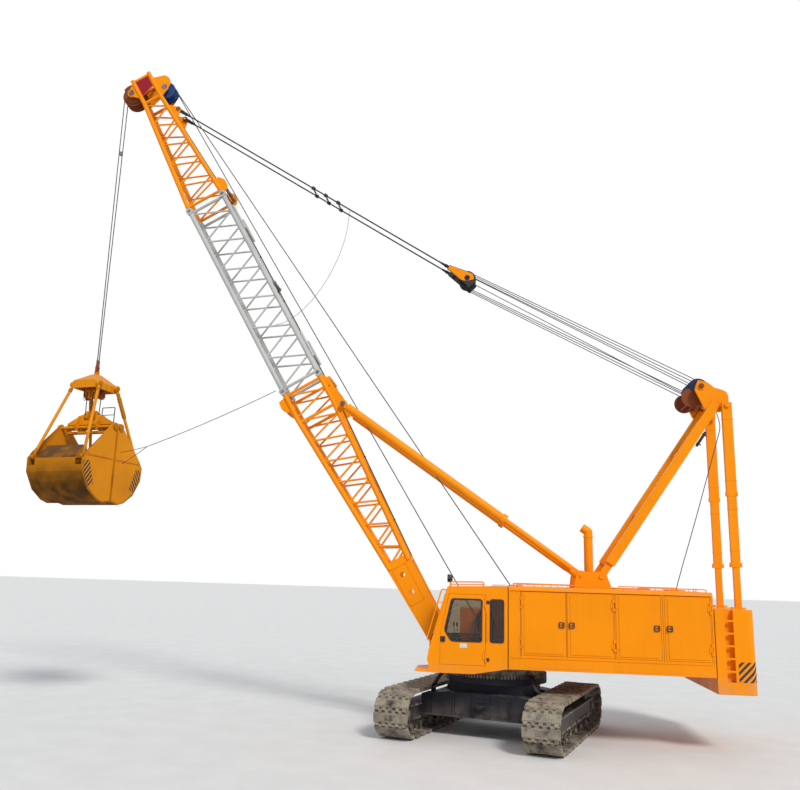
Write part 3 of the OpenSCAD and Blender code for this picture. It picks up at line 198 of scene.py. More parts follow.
def enamel(
    name,
    base,
    shade=0.82,
    dust=0.25,
    rust=0.12,
    low=None,
    gloss=0.4,
    soil=None,
    reach=0.9,
    cover=(0.1, 0.6),
    where=None,
    heap=None,
):
    """Brushed enamel with faded patches, rain streaks, dust on what faces up and chips with rust.
    Below the height low it is soiled more and more over the reach, and only where a mask lets it; on the
    grab's jaws this darker foot is partly soil and partly painted shade.
    Below the height heap soil also lies on what faces up."""
    paint = bpy.context.scene.crane_paint
    f = Finish(name)
    patches = f.band(f.noise(0.9, 5), 0.35, 0.7)
    streaks = f.band(f.noise(7, 3, (1, 1, 0.12)), 0.5, 0.8)
    body = f.mix(f.times(patches, 0.55), base, toned(base, shade))
    body = f.mix(f.times(streaks, 0.16), body, toned(base, 0.6, 0.004))
    soiled = f.times(f.times(f.band(f.facing_up(), 0.35, 0.95), f.band(f.noise(3.2, 6), 0.3, 0.65)), dust)
    body = f.mix(soiled, body, paint.dust)
    # the foot below the height low: dust on the house and the carbody, soil and painted shade on the grab's
    # jaw shells
    if low is not None:
        foot = f.band(f.height(), low, low - reach)
        spread = f.times(foot, f.band(f.noise(2.4, 6), 0.3, 0.65, *cover))
        if where:
            spread = f.times(spread, where(f))
        body = f.mix(spread, body, soil or paint.dust)
        soiled = f.times(soiled, spread, "MAXIMUM")
    if heap is not None:
        lying = f.times(f.band(f.facing_up(), 0.25, 0.55), f.band(f.height(), heap, heap - 0.1))
        body = f.mix(f.times(lying, f.band(f.noise(3, 5), 0.25, 0.6, 0.55, 0.95)), body, soil)
    chips = f.times(f.band(f.noise(26, 8, rough=0.7), 0.64, 0.67), f.band(f.noise(1.7, 4), 0.5, 0.62))
    chipped = f.times(chips, rust)
    body = f.mix(chipped, body, paint.rust)
    f.surface(body, f.band(f.times(soiled, chipped, "MAXIMUM"), 0, 0.7, gloss, 0.85))
    f.bump(f.noise(90, 3), 0.12, 0.002)
    f.shader.inputs["Specular IOR Level"].default_value = 0.12
    return f.material


def off_end_plates(f):
    """A mask that leaves out the outer faces of the jaws' end plates, so that the soil and painted shade of
    the jaws' foot lie on their shells.
    """
    across = f.add("ShaderNodeVectorMath", operation="DOT_PRODUCT")
    f.link(f.where, across.inputs[0])
    across.inputs[1].default_value = (-math.sin(GRAB_YAW), math.cos(GRAB_YAW), 0)
    centred = f.add("ShaderNodeMath", operation="ADD")
    f.link(across.outputs["Value"], centred.inputs[0])
    centred.inputs[1].default_value = GRAB_X * math.sin(GRAB_YAW)
    aside = f.add("ShaderNodeMath", operation="ABSOLUTE")
    f.link(centred.outputs[0], aside.inputs[0])
    return f.band(aside.outputs[0], JAW_FACE - 0.0005, JAW_FACE - 0.013, 0.12, 1)


def soiled_steel(name, base, soil, share=0.5, metallic=0.6, rough=0.5):
    """Bare or thinly painted steel with dried soil in its hollows and worn bright where it rubs."""
    f = Finish(name)
    cover = f.band(f.noise(5, 8, rough=0.65), 0.5 - 0.5 * share, 0.9 - 0.5 * share)
    lumps = f.noise(38, 6, rough=0.7)
    tint = f.mix(f.band(lumps, 0.3, 0.7), toned(soil, 0.72), soil)
    f.surface(f.mix(cover, base, tint), f.band(cover, 0, 1, rough, 0.92), f.band(cover, 0, 0.6, metallic, 0))
    f.bump(lumps, 0.5, 0.012)
    return f.material


def rope_finish(name, base):
    """Laid wire rope: its strands wind by the piece's own UV map, U round it and V along it in metres."""
    f = Finish(name)
    uv = f.add("ShaderNodeUVMap").outputs["UV"]
    split = f.add("ShaderNodeSeparateXYZ")
    f.link(uv, split.inputs["Vector"])
    turn = f.add("ShaderNodeMath", operation="MULTIPLY_ADD")
    f.link(split.outputs["Y"], turn.inputs[0])
    turn.inputs[1].default_value = 6 / 0.17
    f.link(split.outputs["X"], turn.inputs[2])
    wave = f.add("ShaderNodeMath", operation="PINGPONG")
    f.link(turn.outputs[0], wave.inputs[0])
    wave.inputs[1].default_value = 0.5
    strand = f.band(wave.outputs[0], 0, 0.5)
    tint = f.mix(f.band(f.noise(4, 5), 0.3, 0.7), base, toned(base, 2.2, 0.01))
    # painted shade: the valleys between the strands are darker than their crowns
    f.surface(f.mix(strand, toned(base, 0.4), tint), f.band(f.noise(8), 0.3, 0.7, 0.45, 0.7))
    f.shader.inputs["Metallic"].default_value = 0.2
    f.bump(strand, 0.6, 0.004)
    return f.material


def plain_finish(name, base, rough=0.6, variation=0.25, grain=120, bump=0.1):
    """Rubber, vinyl or moulded plastic with a fine grain."""
    f = Finish(name)
    fade = f.band(f.noise(6, 4), 0.35, 0.7)
    f.surface(
        f.mix(f.times(fade, variation), base, toned(base, 1.9, 0.02)),
        f.band(fade, 0, 1, rough, min(1, rough + 0.15)),
    )
    f.bump(f.noise(grain, 2), bump, 0.001)
    return f.material


def glass_finish(name):
    """Pane with a brown tint, which is partly the glass's own and partly painted shade of the cab's inside,
    and a thin film of dust in patches.
    """
    f = Finish(name)
    film = f.band(f.noise(2.5, 6), 0.35, 0.8, 0.02, 0.12)
    # brown tint, partly the glass's own and partly painted shade: through two panes it darkens the white
    # behind them as the shaded inside of the cab
    f.shader.inputs["Base Color"].default_value = (0.5, 0.44, 0.34, 1)
    f.shader.inputs["Transmission Weight"].default_value = 1
    f.shader.inputs["IOR"].default_value = 1.45
    f.link(film, f.shader.inputs["Roughness"])
    return f.material


FINISHES = {}


def finish_of(name):
    """The finish with this name, made when it is first asked for."""
    if name not in FINISHES:
        paint = bpy.context.scene.crane_paint
        makers = {
            "orange_enamel": lambda n: enamel(
                n, paint.orange, shade=0.9, dust=0.12, low=1.75, reach=0.5, cover=(0.0, 0.25)
            ),
            "boom_enamel": lambda n: enamel(n, paint.orange, shade=0.88, dust=0.08, rust=0.3),
            "grab_enamel": lambda n: enamel(
                n,
                paint.grab,
                shade=0.8,
                dust=0.2,
                rust=0.8,
                # low, reach, cover, soil and where: a dark brown foot on the jaw shells, partly soil and
                # partly painted shade
                low=6.6,
                gloss=0.5,
                soil=paint.soil,
                reach=1.25,
                cover=(0.75, 1),
                heap=6.85,
                where=off_end_plates,
            ),
            "grey_enamel": lambda n: enamel(n, paint.grey, shade=0.7, dust=0.2, rust=0.5, gloss=0.5),
            "red_enamel": lambda n: enamel(n, paint.red, shade=0.6, dust=0.25, rust=0.6, gloss=0.5),
            "blue_enamel": lambda n: enamel(n, paint.blue, shade=0.6, dust=0.2, rust=0.3, gloss=0.45),
            "slate_enamel": lambda n: enamel(n, (0.022, 0.032, 0.075), shade=0.6, dust=0.15, rust=0.3),
            "dark_enamel": lambda n: enamel(
                n, paint.dark, shade=0.6, dust=0.25, rust=0.4, low=0.95, gloss=0.5, cover=(0.0, 0.45)
            ),
            "track_steel": lambda n: soiled_steel(n, (0.05, 0.045, 0.035), toned(paint.dust, 1.05), 0.55),
            "roller_steel": lambda n: soiled_steel(n, (0.03, 0.03, 0.035), paint.dust, 0.4),
            "wire_rope": lambda n: rope_finish(n, paint.rope),
            "black_rubber": lambda n: plain_finish(n, (0.012, 0.012, 0.013), 0.55),
            "black_vinyl": lambda n: plain_finish(n, (0.02, 0.02, 0.022), 0.5, grain=300),
            "bright_red": lambda n: enamel(n, (0.3, 0.012, 0.03), shade=0.75, dust=0.02, rust=0.2),
            "worn_grab": lambda n: enamel(
                n,
                toned(paint.grab, 0.72),
                shade=0.6,
                dust=0.3,
                rust=1.0,
                low=6.4,
                gloss=0.6,
                soil=paint.soil,
            ),
            "bare_white": lambda n: plain_finish(n, (0.6, 0.6, 0.57), 0.4, 0.1),
            "lamp_lens": lambda n: plain_finish(n, (0.72, 0.75, 0.76), 0.12, 0.1, grain=60, bump=0.4),
            "hazard_black": lambda n: plain_finish(n, (0.014, 0.012, 0.012), 0.45),
            "pane_glass": glass_finish,
        }
        FINISHES[name] = makers[name](name)
    return FINISHES[name]


# What each CAD node that stays in view is finished with
NODE_FINISHES = {
    "orange_enamel": (
        "platform house_left_wall house_right_wall house_end_walls house_roof far_side_tank counterweight "
        "cab_shell boom_foot_lugs cab_carrier roof_brackets exhaust_stack cab_door aframe_front_legs "
        "aframe_rear_legs "
        "left_door_1 left_door_2 left_door_3 left_door_4 right_door_1 right_door_2 right_door_3 right_door_4"
    ),
    "boom_enamel": "boom_lower boom_brackets boom_top backstop_tubes backstop_rods",
    "grey_enamel": "boom_insert",
    "dark_enamel": (
        "carbody slew_ring side_frame_left side_frame_right engine_block hoist_winches "
        "bridle_sheaves"
    ),
    "roller_steel": "track_wheels_left track_wheels_right",
    "track_steel": "track_left track_right",
    "pane_glass": "cab_panes cab_door_pane",
    "black_vinyl": "cab_seat",
    "red_enamel": "nose_sheaves head_guard nose_guard",
    "blue_enamel": "guide_sheave",
    "slate_enamel": "aframe_sheaves",
    "wire_rope": "pendants hoist_ropes",
    "grab_enamel": "grab_head grab_crosshead grab_jaw_a grab_jaw_b grab_arms_a grab_arms_b",
}


def paint(piece, finish):
    piece.data.materials.clear()
    piece.data.materials.append(finish_of(finish))


class CRANE_OT_nodes(bpy.types.Operator):
    """Gives every CAD node its finish"""

    bl_idname = "crane.nodes"
    bl_label = "Paint the frame"

    def execute(self, context):
        for finish, nodes in NODE_FINISHES.items():
            for node in nodes.split():
                paint(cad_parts[node], finish)
        return {"FINISHED"}


# Axles and lugs on the boom, by their distance along it and out of it, and the A-frame's head in X and Z
NOSE_AXLE, GUIDE_AXLE, PENDANT_LUG, BACKSTOP_LUG = (17.54, -0.44), (17.19, 0.48), (16.34, 0.53), (6.26, 0.7)
HEAD_AXLE = (-4.88, 8.15)
# Heights of the axles in the grab's upper and lower sheave blocks, and of the jaws' pins
UPPER_AXLE, LOWER_AXLE, JAW_PIN = 8.02, 7.41, 7.08

# Frames in which the pieces are laid out
ON_BOOM = Matrix.Translation(BOOM_FOOT) @ Matrix.Rotation(-LUFF, 4, "Y")
ON_TRACKS = Matrix.Rotation(TRACK_HEADING, 4, "Z")
ON_GRAB = Matrix.Translation((GRAB_X, 0, 0)) @ Matrix.Rotation(GRAB_YAW, 4, "Z")
LUG = ON_BOOM @ Vector((PENDANT_LUG[0], 0, PENDANT_LUG[1]))
PENDANT_ANGLE = math.atan2(LUG.z - BRIDLE.z, LUG.x - BRIDLE.x)
PENDANT_LENGTH = (LUG - BRIDLE).length
ON_PENDANT = Matrix.Translation(LUG) @ Matrix.Rotation(-PENDANT_ANGLE, 4, "Y")
BRIDLE_AXLE = -PENDANT_LENGTH - 0.52


# Modelling steps that most pieces share
def alone():
    """Leaves nothing selected, so that the next step acts on its own piece."""
    bpy.ops.object.select_all(action="DESELECT")


def apply_place():
    bpy.ops.object.transform_apply(location=True, rotation=True, scale=True)


def apply_modifier(kind, **settings):
    """Adds a modifier to the active piece with these settings and applies it."""
    bpy.ops.object.modifier_add(type=kind)
    modifier = bpy.context.object.modifiers[-1]
    for key, value in settings.items():
        setattr(modifier, key, value)
    bpy.ops.object.modifier_apply(modifier=modifier.name)


def break_edges(width, angle=40):
    """Takes the sharpness off every edge of the active piece that is steeper than an angle in degrees."""
    apply_modifier("BEVEL", width=width, segments=1, limit_method="ANGLE", angle_limit=math.radians(angle))


def face_outwards():
    """Turns every face of the active piece outwards, in edit mode."""
    bpy.ops.mesh.select_all(action="SELECT")
    bpy.ops.mesh.normals_make_consistent(inside=False)


def block(corner, opposite):
    """A box between two opposite corners."""
    low, high = Vector(map(min, corner, opposite)), Vector(map(max, corner, opposite))
    alone()
    bpy.ops.mesh.primitive_cube_add(size=1, location=(low + high) / 2, scale=high - low)
    return bpy.context.object


def rod(start, end, radius, sides=16, tip=None):
    """A round bar between two points, or a cone where its tip has another radius."""
    start, end = Vector(start), Vector(end)
    along = end - start
    turn = along.to_track_quat("Z", "Y").to_euler()
    alone()
    bpy.ops.mesh.primitive_cone_add(
        vertices=sides,
        radius1=radius,
        radius2=radius if tip is None else tip,
        depth=along.length,
        location=(start + end) / 2,
        rotation=turn,
    )
    return bpy.context.object


def disc(centre, radius, width, sides=32):
    """A round plate across Y, centred on a point."""
    half = Vector((0, width / 2, 0))
    return rod(Vector(centre) - half, Vector(centre) + half, radius, sides)


PLANES = {
    "XZ": (lambda u, v, at: (u, at, v), (0, 1, 0)),
    "XY": (lambda u, v, at: (u, v, at), (0, 0, 1)),
    "YZ": (lambda u, v, at: (at, u, v), (1, 0, 0)),
}


def slab(outline, thickness, at, plane="XZ", rim=None):
    """A plate that is pressed out of its outline, from at towards the plane's own axis.
    With a rim, only a frame of that width inside the outline is kept."""
    place, axis = PLANES[plane]
    alone()
    bpy.ops.mesh.primitive_circle_add(vertices=len(outline), fill_type="NGON", location=(0, 0, 0))
    part = bpy.context.object
    for vertex, (u, v) in zip(part.data.vertices, outline):
        vertex.co = place(u, v, at)
    bpy.ops.object.mode_set(mode="EDIT")
    bpy.ops.mesh.select_all(action="SELECT")
    if rim:
        bpy.ops.mesh.inset(thickness=rim)
        bpy.ops.mesh.delete(type="FACE")
        bpy.ops.mesh.select_all(action="SELECT")
    bpy.ops.mesh.extrude_region_move(TRANSFORM_OT_translate={"value": Vector(axis) * thickness})
    face_outwards()
    bpy.ops.object.mode_set(mode="OBJECT")
    return part


def surround(outline, width, thickness, at, plane="XZ"):
    """A frame of even width inside an outline, such as a gasket or a rim."""
    return slab(outline, thickness, at, plane, width)


def side_plate(outline, side, inner, outer):
    """A plate across Y on one side of the middle, between its distances from it."""
    low, high = sorted((side * inner, side * outer))
    return slab(outline, high - low, low)


def lathe(profile, centre, axis="Y", steps=40):
    """A closed profile of radius and height, spun round an axis through a centre."""
    alone()
    bpy.ops.mesh.primitive_circle_add(vertices=len(profile), fill_type="NOTHING", location=(0, 0, 0))
    part = bpy.context.object
    for vertex, (radius, height) in zip(part.data.vertices, profile):
        vertex.co = {"X": (height, radius, 0), "Y": (radius, height, 0), "Z": (radius, 0, height)}[axis]
    direction = {"X": (1, 0, 0), "Y": (0, 1, 0), "Z": (0, 0, 1)}[axis]
    bpy.ops.object.mode_set(mode="EDIT")
    bpy.ops.mesh.select_all(action="SELECT")
    bpy.ops.mesh.spin(steps=steps, angle=2 * math.pi, center=(0, 0, 0), axis=direction)
    bpy.ops.mesh.select_all(action="SELECT")
    bpy.ops.mesh.remove_doubles(threshold=0.0001)
    face_outwards()
    bpy.ops.object.mode_set(mode="OBJECT")
    part.location = centre
    return part


def ring(inner, outer, half, centre, axis="Y", steps=20):
    """A flat ring of two radii and half its height, such as a clamp or a lifting eye."""
    return lathe([(inner, -half), (outer, -half), (outer, half), (inner, half)], centre, axis, steps)


def pipe(points, radius, sides=8, closed=False):
    """A bent round tube along points, with closed ends."""
    shape = bpy.data.curves.new("pipe", "CURVE")
    shape.dimensions = "3D"
    shape.bevel_depth = radius
    shape.bevel_resolution = max(0, sides // 2 - 2)
    shape.use_fill_caps = not closed
    spline = shape.splines.new("POLY")
    spline.points.add(len(points) - 1)
    for knot, point in zip(spline.points, points):
        knot.co = (*point, 1)
    spline.use_cyclic_u = closed
    part = bpy.data.objects.new("pipe", shape)
    bpy.context.collection.objects.link(part)
    alone()
    part.select_set(True)
    bpy.context.view_layer.objects.active = part
    bpy.ops.object.convert(target="MESH")
    part = bpy.context.object
    bpy.ops.object.mode_set(mode="EDIT")
    bpy.ops.mesh.select_all(action="SELECT")
    bpy.ops.mesh.remove_doubles(threshold=0.00005)
    face_outwards()
    bpy.ops.object.mode_set(mode="OBJECT")
    return part


def copies(part, places):
    """One copy of a part at each place, each with its own mesh, in the part's stead."""
    bpy.context.view_layer.update()
    made = []
    for place in places:
        twin = part.copy()
        twin.data = part.data.copy()
        bpy.context.collection.objects.link(twin)
        twin.matrix_world = place @ part.matrix_world
        made.append(twin)
    bpy.data.objects.remove(part)
    return made


def shifts(*steps):
    return [Matrix.Translation(step) for step in steps]


def half_turn(side):
    """For what is laid out on side 1: it stays there, or is turned about Z to stand on side -1."""
    return Matrix.Rotation(0 if side > 0 else math.pi, 4, "Z")


def coat(parts, finish):
    """Gives parts that aren't joined yet their own finish."""
    for part in parts:
        paint(part, finish)
    return parts


def join(parts):
    """Joins parts into one that sits at the origin."""
    alone()
    for part in parts:
        part.select_set(True)
    bpy.context.view_layer.objects.active = parts[0]
    if len(parts) > 1:
        bpy.ops.object.join()
    apply_place()
    return bpy.context.object


def gather(name, parts, body, finish=None, place=None, edge=0.0, smooth=35):
    """Joins parts into one piece at the origin, breaks its edges, coats it and lets it ride on its body.
    A piece with no finish of its own has parts that were coated before."""
    piece = join(parts)
    piece.name = piece.data.name = name
    if edge:
        break_edges(edge)
    if place is not None:
        piece.matrix_world = place
        apply_place()
    bpy.ops.object.shade_smooth_by_angle(angle=math.radians(smooth))
    if finish:
        paint(piece, finish)
    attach(piece, body)
    return piece


def grown(outline, distance):
    """An outline moved outwards by a distance, corner by corner."""
    area = sum(a[0] * b[1] - b[0] * a[1] for a, b in zip(outline, outline[1:] + outline[:1]))
    sign = 1 if area > 0 else -1
    moved = []
    for before, here, after in zip(outline[-1:] + outline[:-1], outline, outline[1:] + outline[:1]):
        here = Vector(here)
        a, b = (here - Vector(before)).normalized(), (Vector(after) - here).normalized()
        a, b = Vector((a.y, -a.x)) * sign, Vector((b.y, -b.x)) * sign
        moved.append(tuple(here + (a + b) * distance / (1 + a.dot(b))))
    return moved


def on_circle(centre, radius, angles):
    """Places on a circle in a plane, one for each angle."""
    return [(centre[0] + radius * math.cos(a), centre[1] + radius * math.sin(a)) for a in angles]


def rounded(outline, radius, steps=4):
    """An outline whose corners are turned into curves."""
    soft = []
    for before, here, after in zip(outline[-1:] + outline[:-1], outline, outline[1:] + outline[:1]):
        here = Vector(here)
        a, b = Vector(before) - here, Vector(after) - here
        a, b = a.normalized() * min(radius, 0.45 * a.length), b.normalized() * min(radius, 0.45 * b.length)
        for k in range(steps + 1):
            t = k / steps
            soft.append(tuple(here + a * (1 - t) ** 2 + b * t**2))
    return soft


def oblong(u0, v0, u1, v1):
    return [(u0, v0), (u1, v0), (u1, v1), (u0, v1)]


def arc(centre, radius, start, end, steps):
    """Points of an arc in a plane, with its angles in degrees."""
    angles = [math.radians(start + (end - start) * k / steps) for k in range(steps + 1)]
    return on_circle(centre, radius, angles)


def clipped(region, across, level, sign):
    """The part of a convex outline on one side of a line, given by its normal and its level."""
    kept = []
    for here, after in zip(region, region[1:] + region[:1]):
        here, after = Vector(here), Vector(after)
        a, b = (sign * (across.dot(p) - level) for p in (here, after))
        if a >= 0:
            kept.append(tuple(here))
        if a * b < 0:
            kept.append(tuple(here + (after - here) * a / (a - b)))
    return kept


def stripes(region, angle, width, corner=None):
    """The parts of a convex region under slanted stripes, counted from a corner where one is given."""
    across = Vector((-math.sin(angle), math.cos(angle)))
    levels = [across.dot(Vector(p)) for p in region]
    base = min(levels) + 0.3 * width if corner is None else across.dot(Vector(corner))
    found = []
    first, last = (math.floor((level - base) / (2 * width)) for level in (min(levels), max(levels)))
    for k in range(first, last + 2):
        level = base + 2 * width * k
        piece = clipped(clipped(region, across, level, 1), across, level + width, -1)
        if len(piece) > 2:
            found.append(piece)
    return found


def even_steps(points, step):
    """Points about a step apart along a line through the given ones."""
    spaced = [Vector(points[0])]
    for start, end in zip(points, points[1:]):
        start, end = Vector(start), Vector(end)
        count = max(1, round((end - start).length / step))
        spaced += [start.lerp(end, (k + 1) / count) for k in range(count)]
    return spaced


def curved(points, count):
    """Evenly many points on a smooth curve through the given ones."""
    inner = [Vector(p) for p in points]
    ends = [2 * inner[0] - inner[1], *inner, 2 * inner[-1] - inner[-2]]
    smooth = []
    for k in range(1, len(ends) - 2):
        a, b, c, d = ends[k - 1 : k + 3]
        for j in range(count):
            t = j / count
            square, cube = 2 * a - 5 * b + 4 * c - d, 3 * b - 3 * c + d - a
            smooth.append(0.5 * (2 * b + (c - a) * t + square * t**2 + cube * t**3))
    return smooth + [ends[-2]]


def sagging(start, end, drop, count=24):
    """Points of a line that hangs a little between its ends."""
    start, end = Vector(start), Vector(end)
    points = []
    for k in range(count + 1):
        t = k / count
        points.append(start.lerp(end, t) - Vector((0, 0, 4 * drop * t * (1 - t))))
    return points


def rope(name, points, radius, body=None, sides=8, between=None):
    """A laid rope along points: its UV map has the turn round it as U and the metres along it as V.
    between is (first body, second body, start, end) for a rope that crosses a joint; its bodies and points
    are not used, and such a rope is baked in place and rides on no body."""
    points = [Vector(p) for p in points]
    corners, faces, rounds = [], [], []
    normal = None
    length = 0.0
    for k, point in enumerate(points):
        ahead = points[min(k + 1, len(points) - 1)] - points[max(k - 1, 0)]
        ahead.normalize()
        if normal is None:
            normal = ahead.orthogonal()
        normal = (normal - ahead * normal.dot(ahead)).normalized()
        side = ahead.cross(normal)
        if k:
            length += (point - points[k - 1]).length
        rounds.append(length)
        for j in range(sides):
            a = 2 * math.pi * j / sides
            corners.append(point + radius * (math.cos(a) * normal + math.sin(a) * side))
    uvs = []
    for k in range(len(points) - 1):
        for j in range(sides):
            n = (j + 1) % sides
            faces.append((k * sides + j, k * sides + n, (k + 1) * sides + n, (k + 1) * sides + j))
            low, high = j / sides, (j + 1) / sides
            uvs += [(low, rounds[k]), (high, rounds[k]), (high, rounds[k + 1]), (low, rounds[k + 1])]
    last = (len(points) - 1) * sides
    faces += [tuple(reversed(range(sides))), tuple(range(last, last + sides))]
    uvs += [(0, 0)] * (2 * sides)
    mesh = bpy.data.meshes.new(name)
    mesh.from_pydata(corners, [], faces)
    layer = mesh.uv_layers.new(name="UVMap")
    for loop, uv in zip(layer.data, uvs):
        loop.uv = uv
    mesh.shade_smooth()
    piece = bpy.data.objects.new(name, mesh)
    bpy.context.collection.objects.link(piece)
    paint(piece, "wire_rope")
    if between:
        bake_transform(piece)
    else:
        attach(piece, body)
    return piece


# Tracks, as in the frame: gauge, width, length, height and thickness of the shoes
TRACK_GAUGE, SHOE_WIDTH, TRACK_LENGTH, TRACK_HEIGHT, SHOE_THICKNESS = 3.29, 0.79, 4.91, 1.04, 0.09
TRACK_RADIUS = TRACK_HEIGHT / 2
TRACK_HALF = (TRACK_LENGTH - TRACK_HEIGHT) / 2
LOOP_LENGTH = 4 * TRACK_HALF + 2 * math.pi * TRACK_RADIUS
# Rollers between the outermost ones, their height, and how far a side frame's faces are from its middle
ROLLER_COUNT, ROLLER_HEIGHT, FRAME_FACE = 7, 0.2153, 0.21
FIRST_ROLLER = -TRACK_HALF + 0.26
ROLLER_PITCH = 2 * (TRACK_HALF - 0.26) / (ROLLER_COUNT - 1)
# The end faces of the carbody's cross beam, either way along X
BEAM_FACE = 1.16


def loop_point(share):
    """A point of the track's outline at a share of its length."""
    length = share % 1 * LOOP_LENGTH
    top, bend = 2 * TRACK_HALF, math.pi * TRACK_RADIUS
    if length < top:
        return Vector((TRACK_HALF - length, 0, TRACK_HEIGHT))
    if length < top + bend:
        a = (length - top) / TRACK_RADIUS
        return Vector((-TRACK_HALF - TRACK_RADIUS * math.sin(a), 0, TRACK_RADIUS * (1 + math.cos(a))))
    if length < 2 * top + bend:
        return Vector((length - top - bend - TRACK_HALF, 0, 0))
    a = (length - 2 * top - bend) / TRACK_RADIUS
    return Vector((TRACK_HALF + TRACK_RADIUS * math.sin(a), 0, TRACK_RADIUS * (1 - math.cos(a))))


def shoe_places(count, y):
    """Where each shoe lies: X along the track, Z outwards, its outer face on the track's outline."""
    places = []
    for k in range(count):
        start, end = loop_point(k / count), loop_point((k + 1) / count)
        along = (end - start).normalized()
        out = Vector((along.z, 0, -along.x))
        turn = Matrix((along, out.cross(along), out)).transposed().to_4x4()
        middle = (start + end) / 2 - out * SHOE_THICKNESS + Vector((0, y, 0))
        places.append(Matrix.Translation(middle) @ turn)
    return places


def shoe(pitch):
    """A cast shoe: a web, two raised pads with a pocket between them, knuckles and inner guide horns; the web
    and the pocket take a darker finish as painted shade in the gaps between the knuckles and the pads.
    """
    half = SHOE_WIDTH / 2
    web = [block((-0.47 * pitch, -half + 0.01, 0.002), (0.47 * pitch, half - 0.01, 0.03))]
    cast = [block((-0.3 * pitch, -half, 0.02), (0.3 * pitch, half, 0.074))]
    step = SHOE_WIDTH / 5
    for row, knuckles in ((-1, 5), (1, 4)):
        first = -(knuckles - 1) / 2
        for k in range(knuckles):
            y = (first + k) * step
            near, far = row * 0.28 * pitch, row * 0.485 * pitch
            cast.append(block((near, y - 0.27 * step, 0.004), (far, y + 0.27 * step, 0.076)))
    for side in (-1, 1):
        pad = (0.25 * pitch, side * (half - 0.008), SHOE_THICKNESS - 0.002)
        cast.append(block((-0.25 * pitch, side * 0.15, 0.06), pad))
        cast.append(block((-0.2 * pitch, side * 0.145, -0.045), (0.2 * pitch, side * 0.165, 0.02)))
    for x in (-0.22 * pitch, 0.22 * pitch):
        cast.append(block((x - 0.014, -0.16, 0.06), (x + 0.014, 0.16, SHOE_THICKNESS - 0.006)))
    pocket = [block((-0.16 * pitch, -0.12, 0.066), (0.16 * pitch, 0.12, 0.0765))]
    # the web and the pocket are darker as painted shade, where the gaps between the knuckles and between the
    # pads lie in shadow
    model = join(coat(web + pocket, "roller_steel") + coat(cast, "track_steel"))
    break_edges(0.007)
    return model


class CRANE_OT_tracks(bpy.types.Operator):
    """Lays the cast shoes round both tracks"""

    bl_idname = "crane.tracks"
    bl_label = "Track shoes"

    def execute(self, context):
        count = context.scene.crane_sizes.shoes
        for side, name in ((1, "left"), (-1, "right")):
            shoes = copies(shoe(LOOP_LENGTH / count), shoe_places(count, side * TRACK_GAUGE / 2))
            track = gather(f"shoes_{name}", shoes, "undercarriage", place=ON_TRACKS)
            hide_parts(f"track_{name}")
        return {"FINISHED"}


def hex_bolt(centre, axis, size):
    """A bolt head on its washer, standing on a face along an axis."""
    centre, axis = Vector(centre), Vector(axis)
    washer = rod(centre - 0.1 * size * axis, centre + 0.12 * size * axis, 0.75 * size, 16)
    head = rod(centre, centre + 0.55 * size * axis, 0.56 * size, 6)
    return join([washer, head])


